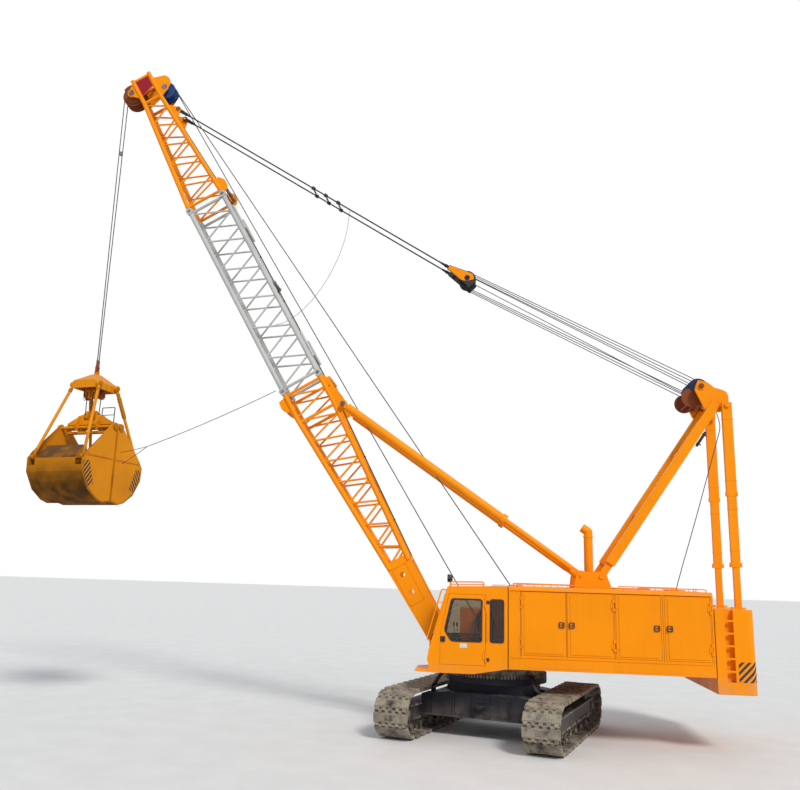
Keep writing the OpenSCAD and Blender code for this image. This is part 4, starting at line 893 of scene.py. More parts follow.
class CRANE_OT_undercarriage(bpy.types.Operator):
    """Adds roller caps, drive covers, bolts and hoses to the undercarriage"""

    bl_idname = "crane.undercarriage"
    bl_label = "Undercarriage fittings"

    def execute(self, context):
        for side, name in ((1, "left"), (-1, "right")):
            y = side * TRACK_GAUGE / 2
            caps = [cap for face in (-1, 1) for cap in self.frame_face(y + face * (FRAME_FACE + 0.004), face)]
            # the yoke in front of the idler
            low = (TRACK_HALF - 0.52, y - 0.13, TRACK_RADIUS - 0.05)
            caps.append(block(low, (TRACK_HALF - 0.44, y + 0.13, TRACK_RADIUS + 0.05)))
            gather(f"frame_fittings_{name}", caps, "undercarriage", "roller_steel", ON_TRACKS, edge=0.003)
        self.carbody()
        return {"FINISHED"}

    def frame_face(self, at, face):
        """Bolted roller caps, drive covers and beads on one face of a side frame."""
        steps = ((0, 0.075, 0.02), (0.012, 0.05, 0.024))
        cap = [disc((0, at + face * out, ROLLER_HEIGHT), radius, width, 24) for out, radius, width in steps]
        bolt = hex_bolt((0.058, at + face * 0.008, ROLLER_HEIGHT), (0, face, 0), 0.016)
        axle = Matrix.Translation((0, 0, ROLLER_HEIGHT))
        spread = [axle @ Matrix.Rotation(k * math.pi / 2, 4, "Y") @ axle.inverted() for k in range(4)]
        rollers = [FIRST_ROLLER + k * ROLLER_PITCH for k in range(ROLLER_COUNT)]
        caps = copies(join(cap + copies(bolt, spread)), shifts(*((x, 0, 0) for x in rollers)))
        for x in (-TRACK_HALF, TRACK_HALF):
            caps.append(disc((x, at + face * 0.004, TRACK_RADIUS), 0.12, 0.03, 32))
            caps.append(disc((x, at + face * 0.024, TRACK_RADIUS), 0.08, 0.03, 32))
        # the bead along the frame's lower half, notched over each roller, and the one along its upper half
        for x in rollers[:-1]:
            low = (x + 0.09, at, TRACK_RADIUS - 0.16)
            caps.append(block(low, (x + ROLLER_PITCH - 0.09, at + face * 0.03, TRACK_RADIUS - 0.12)))
        low = (-TRACK_HALF - 0.1, at, TRACK_RADIUS + 0.125)
        caps.append(block(low, (TRACK_HALF + 0.1, at + face * 0.025, TRACK_RADIUS + 0.16)))
        return caps

    def carbody(self):
        """Bolted plates and rims on both ends of the cross beam, and the hoses to the track drives."""
        plates = []
        for end in (-1, 1):
            parts = []
            for y in (-0.62, 0.4):
                outline = rounded(oblong(y, 0.5, y + 0.22, 0.86), 0.04)
                parts.append(slab(outline, 0.012, BEAM_FACE - 0.04, "YZ"))
                bolts = hex_bolt((BEAM_FACE - 0.025, y + 0.03, 0.53), (1, 0, 0), 0.018)
                parts += copies(bolts, shifts((0, 0, 0), (0, 0.16, 0), (0, 0, 0.3), (0, 0.16, 0.3)))
            for z in (0.56, 0.78):
                outline = rounded(oblong(-0.17, z, 0.17, z + 0.1), 0.03)
                parts.append(surround(outline, 0.018, 0.012, BEAM_FACE, "YZ"))
            for part in parts:
                part.matrix_world = half_turn(end) @ part.matrix_world
            plates += parts
        hoses = []
        for k in range(3):
            x = k * 0.1
            for side in (-1, 1):
                line = [(k * 0.09 + 0.2, 0.62, 1.29), (x + 0.55, 1.0, 1.36)]
                line += [(x + 0.75, 1.2, 1.1), (0.4 + x, 1.38, 0.86)]
                hoses.append(pipe(curved([(x, side * y, z) for x, y, z in line], 8), 0.022, 8))
        parts = coat(plates, "dark_enamel") + coat(hoses, "black_rubber")
        gather("carbody_fittings", parts, "undercarriage", place=ON_TRACKS)


class CRANE_OT_slewing(bpy.types.Operator):
    """Cuts the slewing ring's teeth and sets its bolts"""

    bl_idname = "crane.slewing"
    bl_label = "Slewing ring"

    def execute(self, context):
        teeth, bolt_count, outer, root, inner = 96, 36, 1.178, 1.13, 1.02
        outline = []
        for k in range(teeth):
            for share, radius in ((0.1, root), (0.28, outer), (0.62, outer), (0.8, root)):
                a = 2 * math.pi * (k + share) / teeth
                outline.append((radius * math.cos(a), radius * math.sin(a)))
        gear = slab(outline, 0.085, 1.295, "XY")
        alone()
        bpy.ops.mesh.primitive_cylinder_add(vertices=96, radius=inner, depth=1, location=(0, 0, 1.34))
        bore = context.object
        alone()
        gear.select_set(True)
        context.view_layer.objects.active = gear
        apply_modifier("BOOLEAN", operation="DIFFERENCE", solver="EXACT", object=bore)
        bpy.data.objects.remove(bore)
        low, high, bottom = outer - 0.03, outer - 0.01, inner + 0.01
        profile = [(bottom, 0), (low, 0), (low, 0.03), (high, 0.04), (high, 0.11), (bottom, 0.11)]
        race = lathe(profile, (0, 0, 1.385), "Z", 96)
        bolt = hex_bolt((inner + 0.09, 0, 1.293), (0, 0, -1), 0.03)
        turns = [Matrix.Rotation(2 * math.pi * k / bolt_count, 4, "Z") for k in range(bolt_count)]
        bolts = copies(bolt, turns)
        slewing_gear = gather("slewing_gear", [gear, race, *bolts], "undercarriage", "roller_steel")
        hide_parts("slew_ring")
        return {"FINISHED"}


# Radii at which a rope's middle runs on the sheaves and the drums
NOSE_GROOVE, GUIDE_GROOVE, HEAD_GROOVE, BRIDLE_GROOVE, DRUM_GROOVE = 0.294, 0.224, 0.224, 0.194, 0.243


def tangents(first, radius_1, second, radius_2, side, crossed=False):
    """Where a line touches two circles in the XZ plane: both points and its normal's angle at the first."""
    between = Vector((second[0] - first[0], second[1] - first[1]))
    share = (radius_1 + (radius_2 if crossed else -radius_2)) / between.length
    angle = (math.atan2(between.y, between.x) + side * math.acos(share)) % (2 * math.pi)
    out = Vector((math.cos(angle), math.sin(angle)))
    return Vector(first) + radius_1 * out, Vector(second) + (-radius_2 if crossed else radius_2) * out, angle


def wrap(centre, radius, start, end, y, steps=10):
    """Points on a sheave's groove from one angle to another."""
    angles = [start + (end - start) * k / steps for k in range(steps + 1)]
    return [Vector((centre[0] + radius * math.cos(a), y, centre[1] + radius * math.sin(a))) for a in angles]


class CRANE_OT_ropes(bpy.types.Operator):
    """Reeves the hoist, closing, luffing and tag ropes"""

    bl_idname = "crane.ropes"
    bl_label = "Ropes"

    def execute(self, context):
        thick = context.scene.crane_sizes.rope_radius
        axles = (ON_BOOM @ Vector((along, 0, out)) for along, out in (NOSE_AXLE, GUIDE_AXLE))
        nose, guide = ((axle.x, axle.z) for axle in axles)
        # rope, its Y on the sheaves, its drum's centre in X and Z, and its Y there
        hoists = (("front", 0.11, (0.15, 2.5), 0.1), ("rear", -0.11, (-1.2, 2.53), -0.12))
        for name, y, drum, drum_y in hoists:
            over = tangents(nose, NOSE_GROOVE, guide, GUIDE_GROOVE, -1)[2]
            _, on_drum, back = tangents(guide, GUIDE_GROOVE, drum, DRUM_GROOVE, -1, crossed=True)
            line = wrap(nose, NOSE_GROOVE, 0, over, y) + wrap(guide, GUIDE_GROOVE, over, back, y)
            end = Vector((on_drum.x, drum_y, on_drum.y))
            low = end.lerp(line[-1], 0.2)
            line += even_steps([line[-1], low], 0.8)[1:] + even_steps([low, end], 0.15)[1:]
            rope(f"hoist_rope_{name}", line, thick, sides=7, between=("superstructure", "boom", end, low))
        # the hoist ropes proper, from the nose sheaves down to the sockets on the grab
        for k, side in enumerate((1, -1)):
            ends = [(nose[0] + NOSE_GROOVE, side * 0.11, nose[1]), (GRAB_X, side * 0.045, 8.94)]
            line = even_steps(ends, 0.6)
            rope(f"hoist_fall_{k}", line, thick, "grab_head")
        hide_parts("hoist_ropes")
        clip = [block((GRAB_X - 0.03, 0.045, 15.0), (GRAB_X + 0.02, 0.115, 15.12))]
        clip += [rod((GRAB_X - 0.035, 0.08, z), (GRAB_X + 0.04, 0.08, z), 0.012, 6) for z in (15.03, 15.09)]
        gather("rope_clip", clip, "grab_head", "roller_steel", edge=0.003)
        # closing falls in the grab, between its two sheave blocks
        for k, (side, y) in enumerate((side, y) for side in (-1, 1) for y in (-0.095, 0.095)):
            top, foot = Vector((side * 0.1643, y, UPPER_AXLE)), Vector((side * 0.1443, y, LOWER_AXLE))
            line = [ON_GRAB @ p for p in even_steps([top, foot], 0.04)]
            rope(f"closing_fall_{k}", line, thick, between=("grab_head", "grab_crosshead", line[0], line[-1]))
        self.luffing_falls(thick)
        self.tag_line()
        return {"FINISHED"}

    def luffing_falls(self, thick):
        """Ropes between the bridle and the A-frame's head, six round the sheaves and two to fixed anchors.
        No joint joins the pendants to the superstructure; each rope is made in two parts that meet a quarter
        of the way from the bridle, and both parts are baked in place and ride on no body."""
        bridle = ON_PENDANT @ Vector((BRIDLE_AXLE, 0, 0))
        lines = []
        for k in range(3):
            for side, y in ((1, (2 * k - 2.5) * 0.12), (-1, (2 * k - 1.5) * 0.12)):
                circles = (bridle.x, bridle.z), BRIDLE_GROOVE, HEAD_AXLE, HEAD_GROOVE
                start, end, angle = tangents(*circles, -side)
                line = [Vector((start.x, (k - 1) * 0.12 + side * 0.01, start.y)), Vector((end.x, y, end.y))]
                round_head = wrap(HEAD_AXLE, HEAD_GROOVE, angle, angle + side * 1.9, y, 9)[1:]
                lines.append((f"luffing_fall_{k}_{'top' if side > 0 else 'low'}", line, round_head))
        for side in (-1, 1):
            line = [Vector((bridle.x - 0.1, side * 0.21, bridle.z + 0.03)), Vector((-4.66, side * 0.37, 8.2))]
            lines.append((f"luffing_anchor_{'left' if side > 0 else 'right'}", line, []))
        for name, (start, end), more in lines:
            meet = start.lerp(end, 0.25)
            near = even_steps([start, meet], 0.25)
            far = even_steps([meet, end], 0.4) + more
            rope(name + "_bridle", near, 0.8 * thick, sides=7, between=("pendants", "boom", start, meet))
            rope(name + "_head", far, 0.8 * thick, sides=7, between=("boom", "superstructure", meet, end))

    def tag_line(self):
        """The light line that keeps the grab from turning, forked near the grab."""
        start, fork = Vector((5.66, 0.35, 8.04)), Vector((9.03, 0.2, 6.57))
        ends = (Vector((9.78, 0.1, 6.42)), Vector((9.5, 0.55, 6.06)))
        across = ("boom", "grab_head", start, start.lerp(fork, 0.9))
        rope("tag_line", sagging(start, fork, 0.05), 0.009, sides=6, between=across)
        for k, end in enumerate(ends):
            rope(f"tag_line_fork_{k}", sagging(fork, end, 0.01, 8), 0.008, "grab_head", sides=6)


# House, as in the frame: the outer faces of its walls and doors either way along Y, and its roof's height
WALL_FACE, DOOR_FACE, ROOF = 1.55, 1.562, 3.32
# Each door's front and rear edge in X, and whether its hinges are on the front one
DOOR_ROWS = ((-0.54, -1.5, True), (-1.54, -2.52, False), (-2.58, -3.53, True), (-3.62, -4.57, False))
# Middle of the exhaust stack in X and Y
STACK = (-2.18, 0.2)


def latch(radius):
    """A sunk paddle latch in its bezel, its face towards +Y and its middle at the origin."""
    inner = 0.8 * radius
    outline = rounded(oblong(-radius, -radius, radius, radius), 0.35 * radius)
    bezel = surround(outline, 0.3 * radius, 0.03, 0.0)
    dish = slab(oblong(-inner, -inner, inner, inner), 0.024, 0.0)
    paddle = block((-0.5 * radius, 0.022, -0.6 * radius), (-0.2 * radius, 0.032, 0.6 * radius))
    wide, top = 0.34 * radius, 0.2 * radius
    knob = [(0.0, 0.0), (wide, 0.0), (wide, 0.008), (top, 0.012), (0.0, 0.012)]
    key = lathe(knob, (0.12 * radius, 0.022, 0), "Y", 20)
    model = join(coat([bezel, dish, paddle], "black_rubber") + coat([key], "red_enamel"))
    break_edges(0.0015, 50)
    return model


class CRANE_OT_house(bpy.types.Operator):
    """Adds door latches, seams, skirt plates, roof rails and covers to the machine house"""

    bl_idname = "crane.house"
    bl_label = "Machine house fittings"

    def execute(self, context):
        radius = context.scene.crane_sizes.latch
        for side, name in ((1, "left"), (-1, "right")):
            for number, (front, rear, at_front) in enumerate(DOOR_ROWS, 1):
                x = rear + 0.09 if at_front else front - 0.09
                place = Matrix.Translation((x, side * (DOOR_FACE - 0.0015), 2.53)) @ half_turn(side)
                door = f"{name}_door_{number}"
                gather(f"latch_{name}_{number}", [latch(radius)], door, place=place)
            self.side_trim(side, name)
        self.roof_trim()
        return {"FINISHED"}

    def side_trim(self, side, name):
        """Drip rail, a bead under the doors, the bare plates on the skirt and the seams between panels."""
        sunk = WALL_FACE - 0.002
        parts = [
            block((side * -4.6, sunk, 3.234), (side * -0.3, WALL_FACE + 0.02, 3.246)),
            block((side * -4.6, sunk, 1.806), (side * -0.3, WALL_FACE + 0.012, 1.818)),
        ]
        for ends in ((-2.1, -0.62), (-4.5, -2.52)):
            low, high = sorted(side * x for x in ends)
            parts.append(slab(rounded(oblong(low, 1.605, high, 1.765), 0.012), 0.006, sunk))
            screw = disc((low + 0.03, WALL_FACE + 0.006, 1.63), 0.009, 0.006, 10)
            far = high - low - 0.06
            parts += copies(screw, shifts((0, 0, 0), (far, 0, 0), (0, 0, 0.11), (far, 0, 0.11)))
        seams = []
        for x in (-0.52, -1.52, -2.55, -3.575, -4.6):
            x *= side
            low, high = (x - 0.0035, WALL_FACE - 0.004, 1.83), (x + 0.0035, WALL_FACE + 0.0012, 3.225)
            seams.append(block(low, high))
        for part in parts + seams:
            part.matrix_world = half_turn(side) @ part.matrix_world
        gather(f"house_trim_{name}", parts, "superstructure", "orange_enamel", edge=0.002)
        gather(f"house_seams_{name}", seams, "superstructure", "black_rubber")

    def roof_trim(self):
        """Rails, hatch, lifting eyes and the lips of the rope slots on the roof."""
        parts = []
        foot, bend, top = ROOF - 0.002, ROOF + 0.045, ROOF + 0.058
        for y in (1.38, -1.38):
            for x0, x1 in ((-1.95, -0.45), (-4.55, -3.1)):
                rail = [(x0, foot), (x0, bend), (x0 + 0.03, top), (x1 - 0.03, top), (x1, bend), (x1, foot)]
                parts.append(pipe([(x, y, z) for x, z in rail], 0.013, 8))
                for x in (x0 + (x1 - x0) * k / 4 for k in (1, 2, 3)):
                    parts.append(rod((x, y, foot), (x, y, ROOF + 0.055), 0.009, 8))
        for x0, x1 in ((-0.64, -0.31), (-4.37, -3.98)):
            parts.append(surround(rounded(oblong(x0, -0.27, x1, 0.27), 0.03), 0.022, 0.03, foot, "XY"))
        parts.append(slab(rounded(oblong(-3.6, -0.55, -2.75, 0.2), 0.06), 0.035, ROOF - 0.001, "XY"))
        for y in (-0.4, 0.05):
            parts.append(rod((-2.74, y - 0.05, ROOF + 0.015), (-2.74, y + 0.05, ROOF + 0.015), 0.014, 12))
        handle = [(-0.28, 0.03), (-0.28, 0.065), (-0.07, 0.065), (-0.07, 0.03)]
        parts.append(pipe([(-3.52, y, ROOF + out) for y, out in handle], 0.008, 8))
        for x, y in ((-0.5, 1.0), (-0.5, -1.0), (-4.4, 1.0), (-4.4, -1.0)):
            parts.append(ring(0.022, 0.042, 0.008, (x, y, ROOF + 0.032), steps=16))
        gather("roof_fittings", parts, "superstructure", "orange_enamel", edge=0.003)
        # the stack's mitred joint, clamp and flange bolts
        stack = [
            ring(0.104, 0.114, 0.016, (*STACK, 4.52), "Z", 40),
            ring(0.104, 0.118, 0.02, (*STACK, 3.42), "Z", 40),
        ]
        bolt = hex_bolt((STACK[0] + 0.135, STACK[1], 3.34), (0, 0, 1), 0.018)
        centre = Matrix.Translation((*STACK, 0))
        turns = [Matrix.Rotation(k * math.pi / 3, 4, "Z") for k in range(6)]
        stack += copies(bolt, [centre @ turn @ centre.inverted() for turn in turns])
        gather("stack_fittings", stack, "superstructure", "orange_enamel", edge=0.002)


# Cab, as in the frame: outlines of its panes in X and Z, and the planes of its side panes and its front pane
DOOR_WINDOW = [(0.33, 3.015), (1.0, 3.015), (1.15, 2.34), (1.0, 2.11), (0.33, 2.11)]
REAR_WINDOW = [(0.14, 3.02), (-0.15, 3.02), (-0.15, 2.11), (0.14, 2.11)]
INNER_WINDOW = [(1.0, 3.015), (0.1, 3.015), (0.1, 2.2), (1.18, 2.2)]
CAB_FACE, CAB_INNER_FACE = WALL_FACE - 0.0005, 0.5885
FRONT_FOOT, FRONT_TOP = (1.5, 1.9), (1.1, 3.28)


class CRANE_OT_cab(bpy.types.Operator):
    """Adds gaskets, handles, wiper, lamp, rails and steps to the cab"""

    bl_idname = "crane.cab"
    bl_label = "Cab fittings"

    def execute(self, context):
        width = context.scene.crane_sizes.gasket
        for name, outline, y, body in (
            ("door", DOOR_WINDOW, CAB_FACE, "cab_door"),
            ("rear", REAR_WINDOW, CAB_FACE, "superstructure"),
            ("inner", INNER_WINDOW, CAB_INNER_FACE, "superstructure"),
        ):
            rim = surround(rounded(grown(outline, 0.5 * width), 0.07, 6), 1.15 * width, 0.012, y)
            behind = y - 0.055 if y == CAB_FACE else y + 0.062
            inside = surround(rounded(grown(outline, 0.3 * width), 0.07, 6), 1.1 * width, 0.01, behind)
            gather(f"gasket_{name}", [rim, inside], body, "black_rubber", edge=0.004)
        self.front_window(width)
        self.handles()
        self.roof_lamp()
        return {"FINISHED"}

    def front_window(self, width):
        """Gasket and wiper of the sloping windscreen, modelled flat and then leant back."""
        slope = math.atan2(FRONT_TOP[1] - FRONT_FOOT[1], FRONT_FOOT[0] - FRONT_TOP[0])
        foot = Matrix.Translation((FRONT_FOOT[0], 1.075, FRONT_FOOT[1]))
        lean = foot @ Matrix.Rotation(slope - math.pi / 2, 4, "Y")
        over = 0.4 * width
        outline = rounded(oblong(-0.385 - over, 0.12 - over, 0.385 + over, 1.27 + over), 0.08, 6)
        rim = surround(outline, 1.3 * width, 0.014, -0.004, "YZ")
        gather("gasket_front", [rim], "superstructure", "black_rubber", lean, edge=0.004)
        wiper = [
            disc((0.0, 0.0, 0.0), 0.03, 0.05, 20),
            pipe([(0.028, 0.0, 0.0), (0.034, -0.08, 0.2), (0.028, -0.16, 0.42)], 0.007, 6),
            block((0.012, -0.175, 0.2), (0.03, -0.163, 0.64)),
        ]
        wiper[0].matrix_world = Matrix.Rotation(math.pi / 2, 4, "Z") @ wiper[0].matrix_world
        place = lean @ Matrix.Translation((0, 0.05, 0.075))
        gather("wiper", wiper, "superstructure", "black_rubber", place, edge=0.001)

    def handles(self):
        """Door handle, grab rails, the small square covers and the bare plate under the window."""
        root, grip = WALL_FACE + 0.002, 1.6
        bent = [(1.17, root, 2.98), (1.19, 1.595, 2.95), (1.29, grip, 2.6)]
        bent += [(1.38, grip, 2.3), (1.4, root, 2.26)]
        upright = [(0.205, root, 2.75), (0.205, grip, 2.75), (0.205, grip, 2.15), (0.205, root, 2.15)]
        roof = [(1.04, 3.285), (1.04, 3.36), (1.0, 3.385), (0.33, 3.4), (0.29, 3.38), (0.29, 3.305)]
        front = [(1.12, 3.2), (1.21, 3.22), (1.24, 3.19), (1.535, 2.17), (1.53, 2.12), (1.44, 2.08)]
        rails = [
            pipe(curved(bent, 6), 0.013, 8),
            pipe(upright, 0.012, 8),
            pipe([(x, 1.5, z) for x, z in roof], 0.016, 8),
            pipe([(1.04, 1.5, 3.33), (0.29, 1.5, 3.345)], 0.013, 8),
            pipe([(x, 1.48, z) for x, z in front], 0.016, 8),
            block((1.2, 1.44, 2.92), (1.3, 1.5, 2.94)),
        ]
        gather("cab_rails", rails, "superstructure", "orange_enamel", edge=0.002)
        box = [block((-0.22, 1.18, 3.312), (0.1, 1.5, 3.35)), block((-0.2, 1.2, 3.345), (0.08, 1.48, 3.358))]
        gather("cab_roof_box", box, "superstructure", "bare_white", edge=0.006)
        x, half = 0.195, 0.036
        outlines = [oblong(x - half, z - half, x + half, z + half) for z in (2.96, 1.74)]
        squares = [slab(rounded(outline, 0.01), 0.012, WALL_FACE - 0.001) for outline in outlines]
        gather("hinge_covers", squares, "superstructure", "black_rubber", edge=0.002)
        handle = [
            slab(rounded(oblong(1.135, 2.085, 1.245, 2.205), 0.02), 0.01, CAB_FACE),
            block((1.145, 1.555, 2.12), (1.165, 1.585, 2.15)),
            rod((1.155, 1.585, 2.085), (1.155, 1.585, 2.19), 0.011, 10),
            disc((1.195, 1.56, 2.1), 0.014, 0.012, 16),
        ]
        gather("cab_door_handle", handle, "cab_door", "black_rubber", edge=0.002)
        plate = slab(rounded(oblong(0.65, 1.975, 0.81, 2.065), 0.012), 0.003, CAB_FACE)
        gather("bare_plate", [plate], "cab_door", "bare_white")

    def roof_lamp(self):
        """Working lamp on its fork, on the cab's front edge."""
        back, x, y, z = 1.0, 1.04, 1.3, 3.46
        shell = [(0.0, 0.0), (0.055, 0.0), (0.085, 0.05), (0.09, 0.11)]
        shell += [(0.082, 0.115), (0.078, 0.095), (0.0, 0.09)]
        bulge = [(0.0, 0.094), (0.076, 0.097), (0.07, 0.108), (0.03, 0.118), (0.0, 0.12)]
        housing = lathe(shell, (back, y, z), "X", 32)
        lens = lathe(bulge, (back, y, z), "X", 32)
        fork = [(y - 0.105, z), (y - 0.105, 3.37), (y, 3.345), (y + 0.105, 3.37), (y + 0.105, z)]
        bracket = pipe([(x, *point) for point in fork], 0.008, 8)
        stem = rod((x, y, 3.27), (x, y, 3.35), 0.014, 10)
        parts = coat([housing, bracket, stem], "black_rubber") + coat([lens], "lamp_lens")
        gather("cab_lamp", parts, "superstructure")


class CRANE_OT_seat(bpy.types.Operator):
    """Fits the driver's seat, the consoles and the levers in the cab"""

    bl_idname = "crane.seat"
    bl_label = "Driver's seat"

    def execute(self, context):
        base = [
            block((0.2, 0.88, 1.605), (0.5, 1.22, 1.66)),
            block((0.26, 0.94, 1.65), (0.44, 1.16, 1.86)),
            block((0.14, 0.86, 1.86), (0.56, 1.24, 1.895)),
            rod((0.12, 1.06, 1.88), (0.1, 1.06, 2.5), 0.02, 10),
            slab([(0.085, 1.97), (0.105, 1.97), (0.085, 2.6), (0.065, 2.6)], 0.34, 0.88),
        ]
        coat(base, "dark_enamel")
        stand_side = [(0.8, 1.605), (1.05, 1.605), (1.05, 2.12), (0.98, 2.25), (0.84, 2.2), (0.8, 2.05)]
        arm_side = [(0.2, 1.9), (0.58, 1.9), (0.6, 2.12), (0.54, 2.16), (0.2, 2.14)]
        console = [
            slab(rounded(stand_side, 0.04), 0.19, 0.755),
            slab(rounded(arm_side, 0.03), 0.1, 0.69),
        ]
        # each lever's place, how far it leans forward, and the height of its foot
        levers = [(0.88, 0.81, 0.02, 2.2), (0.95, 0.89, 0.02, 2.2)]
        levers += [(0.48, 0.72, 0.0, 2.12), (0.4, 0.76, 0.0, 2.12)]
        for x, y, lean, foot in levers:
            console.append(rod((x, y, foot - 0.03), (x + lean, y, foot + 0.2), 0.008, 8))
            knob = (x + lean, y, foot + 0.18), (x + 1.2 * lean, y, foot + 0.27)
            console.append(rod(*knob, 0.016, 12, 0.022))
        coat(console, "black_vinyl")
        stand = gather("seat_stand", base + console, "superstructure", edge=0.004)
        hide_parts("cab_seat")
        self.cushion("seat_cushion", (0.12, 0.83, 1.9), (0.59, 1.27, 2.005), Matrix.Identity(4))
        tilt = Matrix.Translation((0.115, 1.05, 2.02)) @ Matrix.Rotation(math.radians(-4), 4, "Y")
        self.cushion("back_cushion", (-0.03, -0.2, 0.0), (0.05, 0.2, 0.6), tilt)
        return {"FINISHED"}

    def cushion(self, name, low, high, place):
        """Padded vinyl: a voxel mesh blown up a little by cloth pressure, by its crown at most."""
        crown = 0.012
        margin = Vector((crown, crown, crown))
        pad = block(Vector(low) + margin, Vector(high) - margin)
        apply_place()
        apply_modifier("BEVEL", width=0.02, segments=2)
        apply_modifier("REMESH", mode="VOXEL", voxel_size=0.014)
        pad = bpy.context.object
        rest = [v.co.copy() for v in pad.data.vertices]
        bpy.ops.object.modifier_add(type="CLOTH")
        cloth = pad.modifiers[-1]
        cloth.settings.use_pressure = True
        cloth.settings.uniform_pressure_force = 4
        cloth.settings.effector_weights.gravity = 0
        for frame_number in range(1, 16):
            bpy.context.scene.frame_set(frame_number)
        bpy.ops.object.modifier_apply(modifier=cloth.name)
        bpy.context.scene.frame_set(1)
        for vertex, start in zip(pad.data.vertices, rest):
            step = vertex.co - start
            if step.length > crown:
                vertex.co = start + step.normalized() * crown
        apply_modifier("SMOOTH", factor=0.5, iterations=4)
        apply_modifier("SUBSURF", levels=1, render_levels=1)
        gather(name, [pad], "superstructure", "black_vinyl", place, smooth=70)


# Counterweight, as in the frame: where its rear corner starts, the corner's radius, its side and its rear
CORNER_X, CORNER_R, SIDE_Y = -5.33, 0.16, 1.55
WEIGHT_REAR = CORNER_X - CORNER_R


def bend_round(part):
    """Bends what lies behind the flat side round the counterweight's corner."""
    for vertex in part.data.vertices:
        if vertex.co.x < CORNER_X:
            angle = (CORNER_X - vertex.co.x) / CORNER_R
            out = CORNER_R + vertex.co.y - SIDE_Y
            vertex.co.x = CORNER_X - out * math.sin(angle)
            vertex.co.y = SIDE_Y - CORNER_R + out * math.cos(angle)
    return part


class CRANE_OT_counterweight(bpy.types.Operator):
    """Adds hazard stripes, seams, lifting eyes and tie bolts to the counterweight"""

    bl_idname = "crane.counterweight"
    bl_label = "Counterweight fittings"

    def execute(self, context):
        wide = context.scene.crane_sizes.stripe
        low, high, front, rear, columns = 1.49, 1.9, -5.1, -5.52, 12
        step = (rear - front) / columns
        for side, name in ((1, "left"), (-1, "right")):
            black, plates = [], []
            for k in range(columns):
                region = oblong(front + k * step, low, front + (k + 1) * step, high)
                plates.append(bend_round(slab(region, 0.004, SIDE_Y - 0.001)))
                for outline in stripes(region, math.radians(-45), wide, (front, low)):
                    black.append(bend_round(slab(outline, 0.003, SIDE_Y + 0.002)))
            panel = join(coat(black, "hazard_black") + coat(plates, "orange_enamel"))
            if side < 0:
                bpy.ops.transform.mirror(orient_type="GLOBAL", constraint_axis=(False, True, False))
                apply_place()
                bpy.ops.object.mode_set(mode="EDIT")
                face_outwards()
                bpy.ops.object.mode_set(mode="OBJECT")
            gather(f"hazard_panel_{name}", [panel], "superstructure")
        bands = []
        back, face, half = WEIGHT_REAR - 0.0025, WEIGHT_REAR + 0.005, 0.004
        for z in (2.1, 2.96):
            bands.append(block((back, -1.36, z - half), (face, 1.36, z + half)))
        for y in (-0.45, 0.45):
            bands.append(block((back, y - half, 1.25), (face, y + half, 2.96)))
        gather("counterweight_seams", bands, "superstructure", "black_rubber")
        fittings = []
        for y in (-1.0, 1.0):
            fittings.append(ring(0.035, 0.07, 0.014, (-4.95, y, 3.02)))
            fittings.append(block((-5.03, y - 0.05, 2.975), (-4.87, y + 0.05, 2.99)))
        for y in (-1.2, -0.7, 0.7, 1.2):
            for z in (1.45, 2.7):
                fittings.append(hex_bolt((WEIGHT_REAR + 0.001, y, z), (-1, 0, 0), 0.045))
        for side in (-1, 1):
            for k in range(5):
                z = 1.7 + 0.26 * k
                fittings.append(block((-5.045, side * 1.5, z - 0.02), (-4.855, side * 1.549, z + 0.02)))
        gather("counterweight_fittings", fittings, "superstructure", "orange_enamel", edge=0.003)
        return {"FINISHED"}


# Collars round each rear leg of the A-frame: their height, and half the leg's depth and width there
COLLARS = ((4.25, 0.095, 0.055), (5.2, 0.095, 0.055), (5.85, 0.11, 0.06), (7.3, 0.11, 0.06))


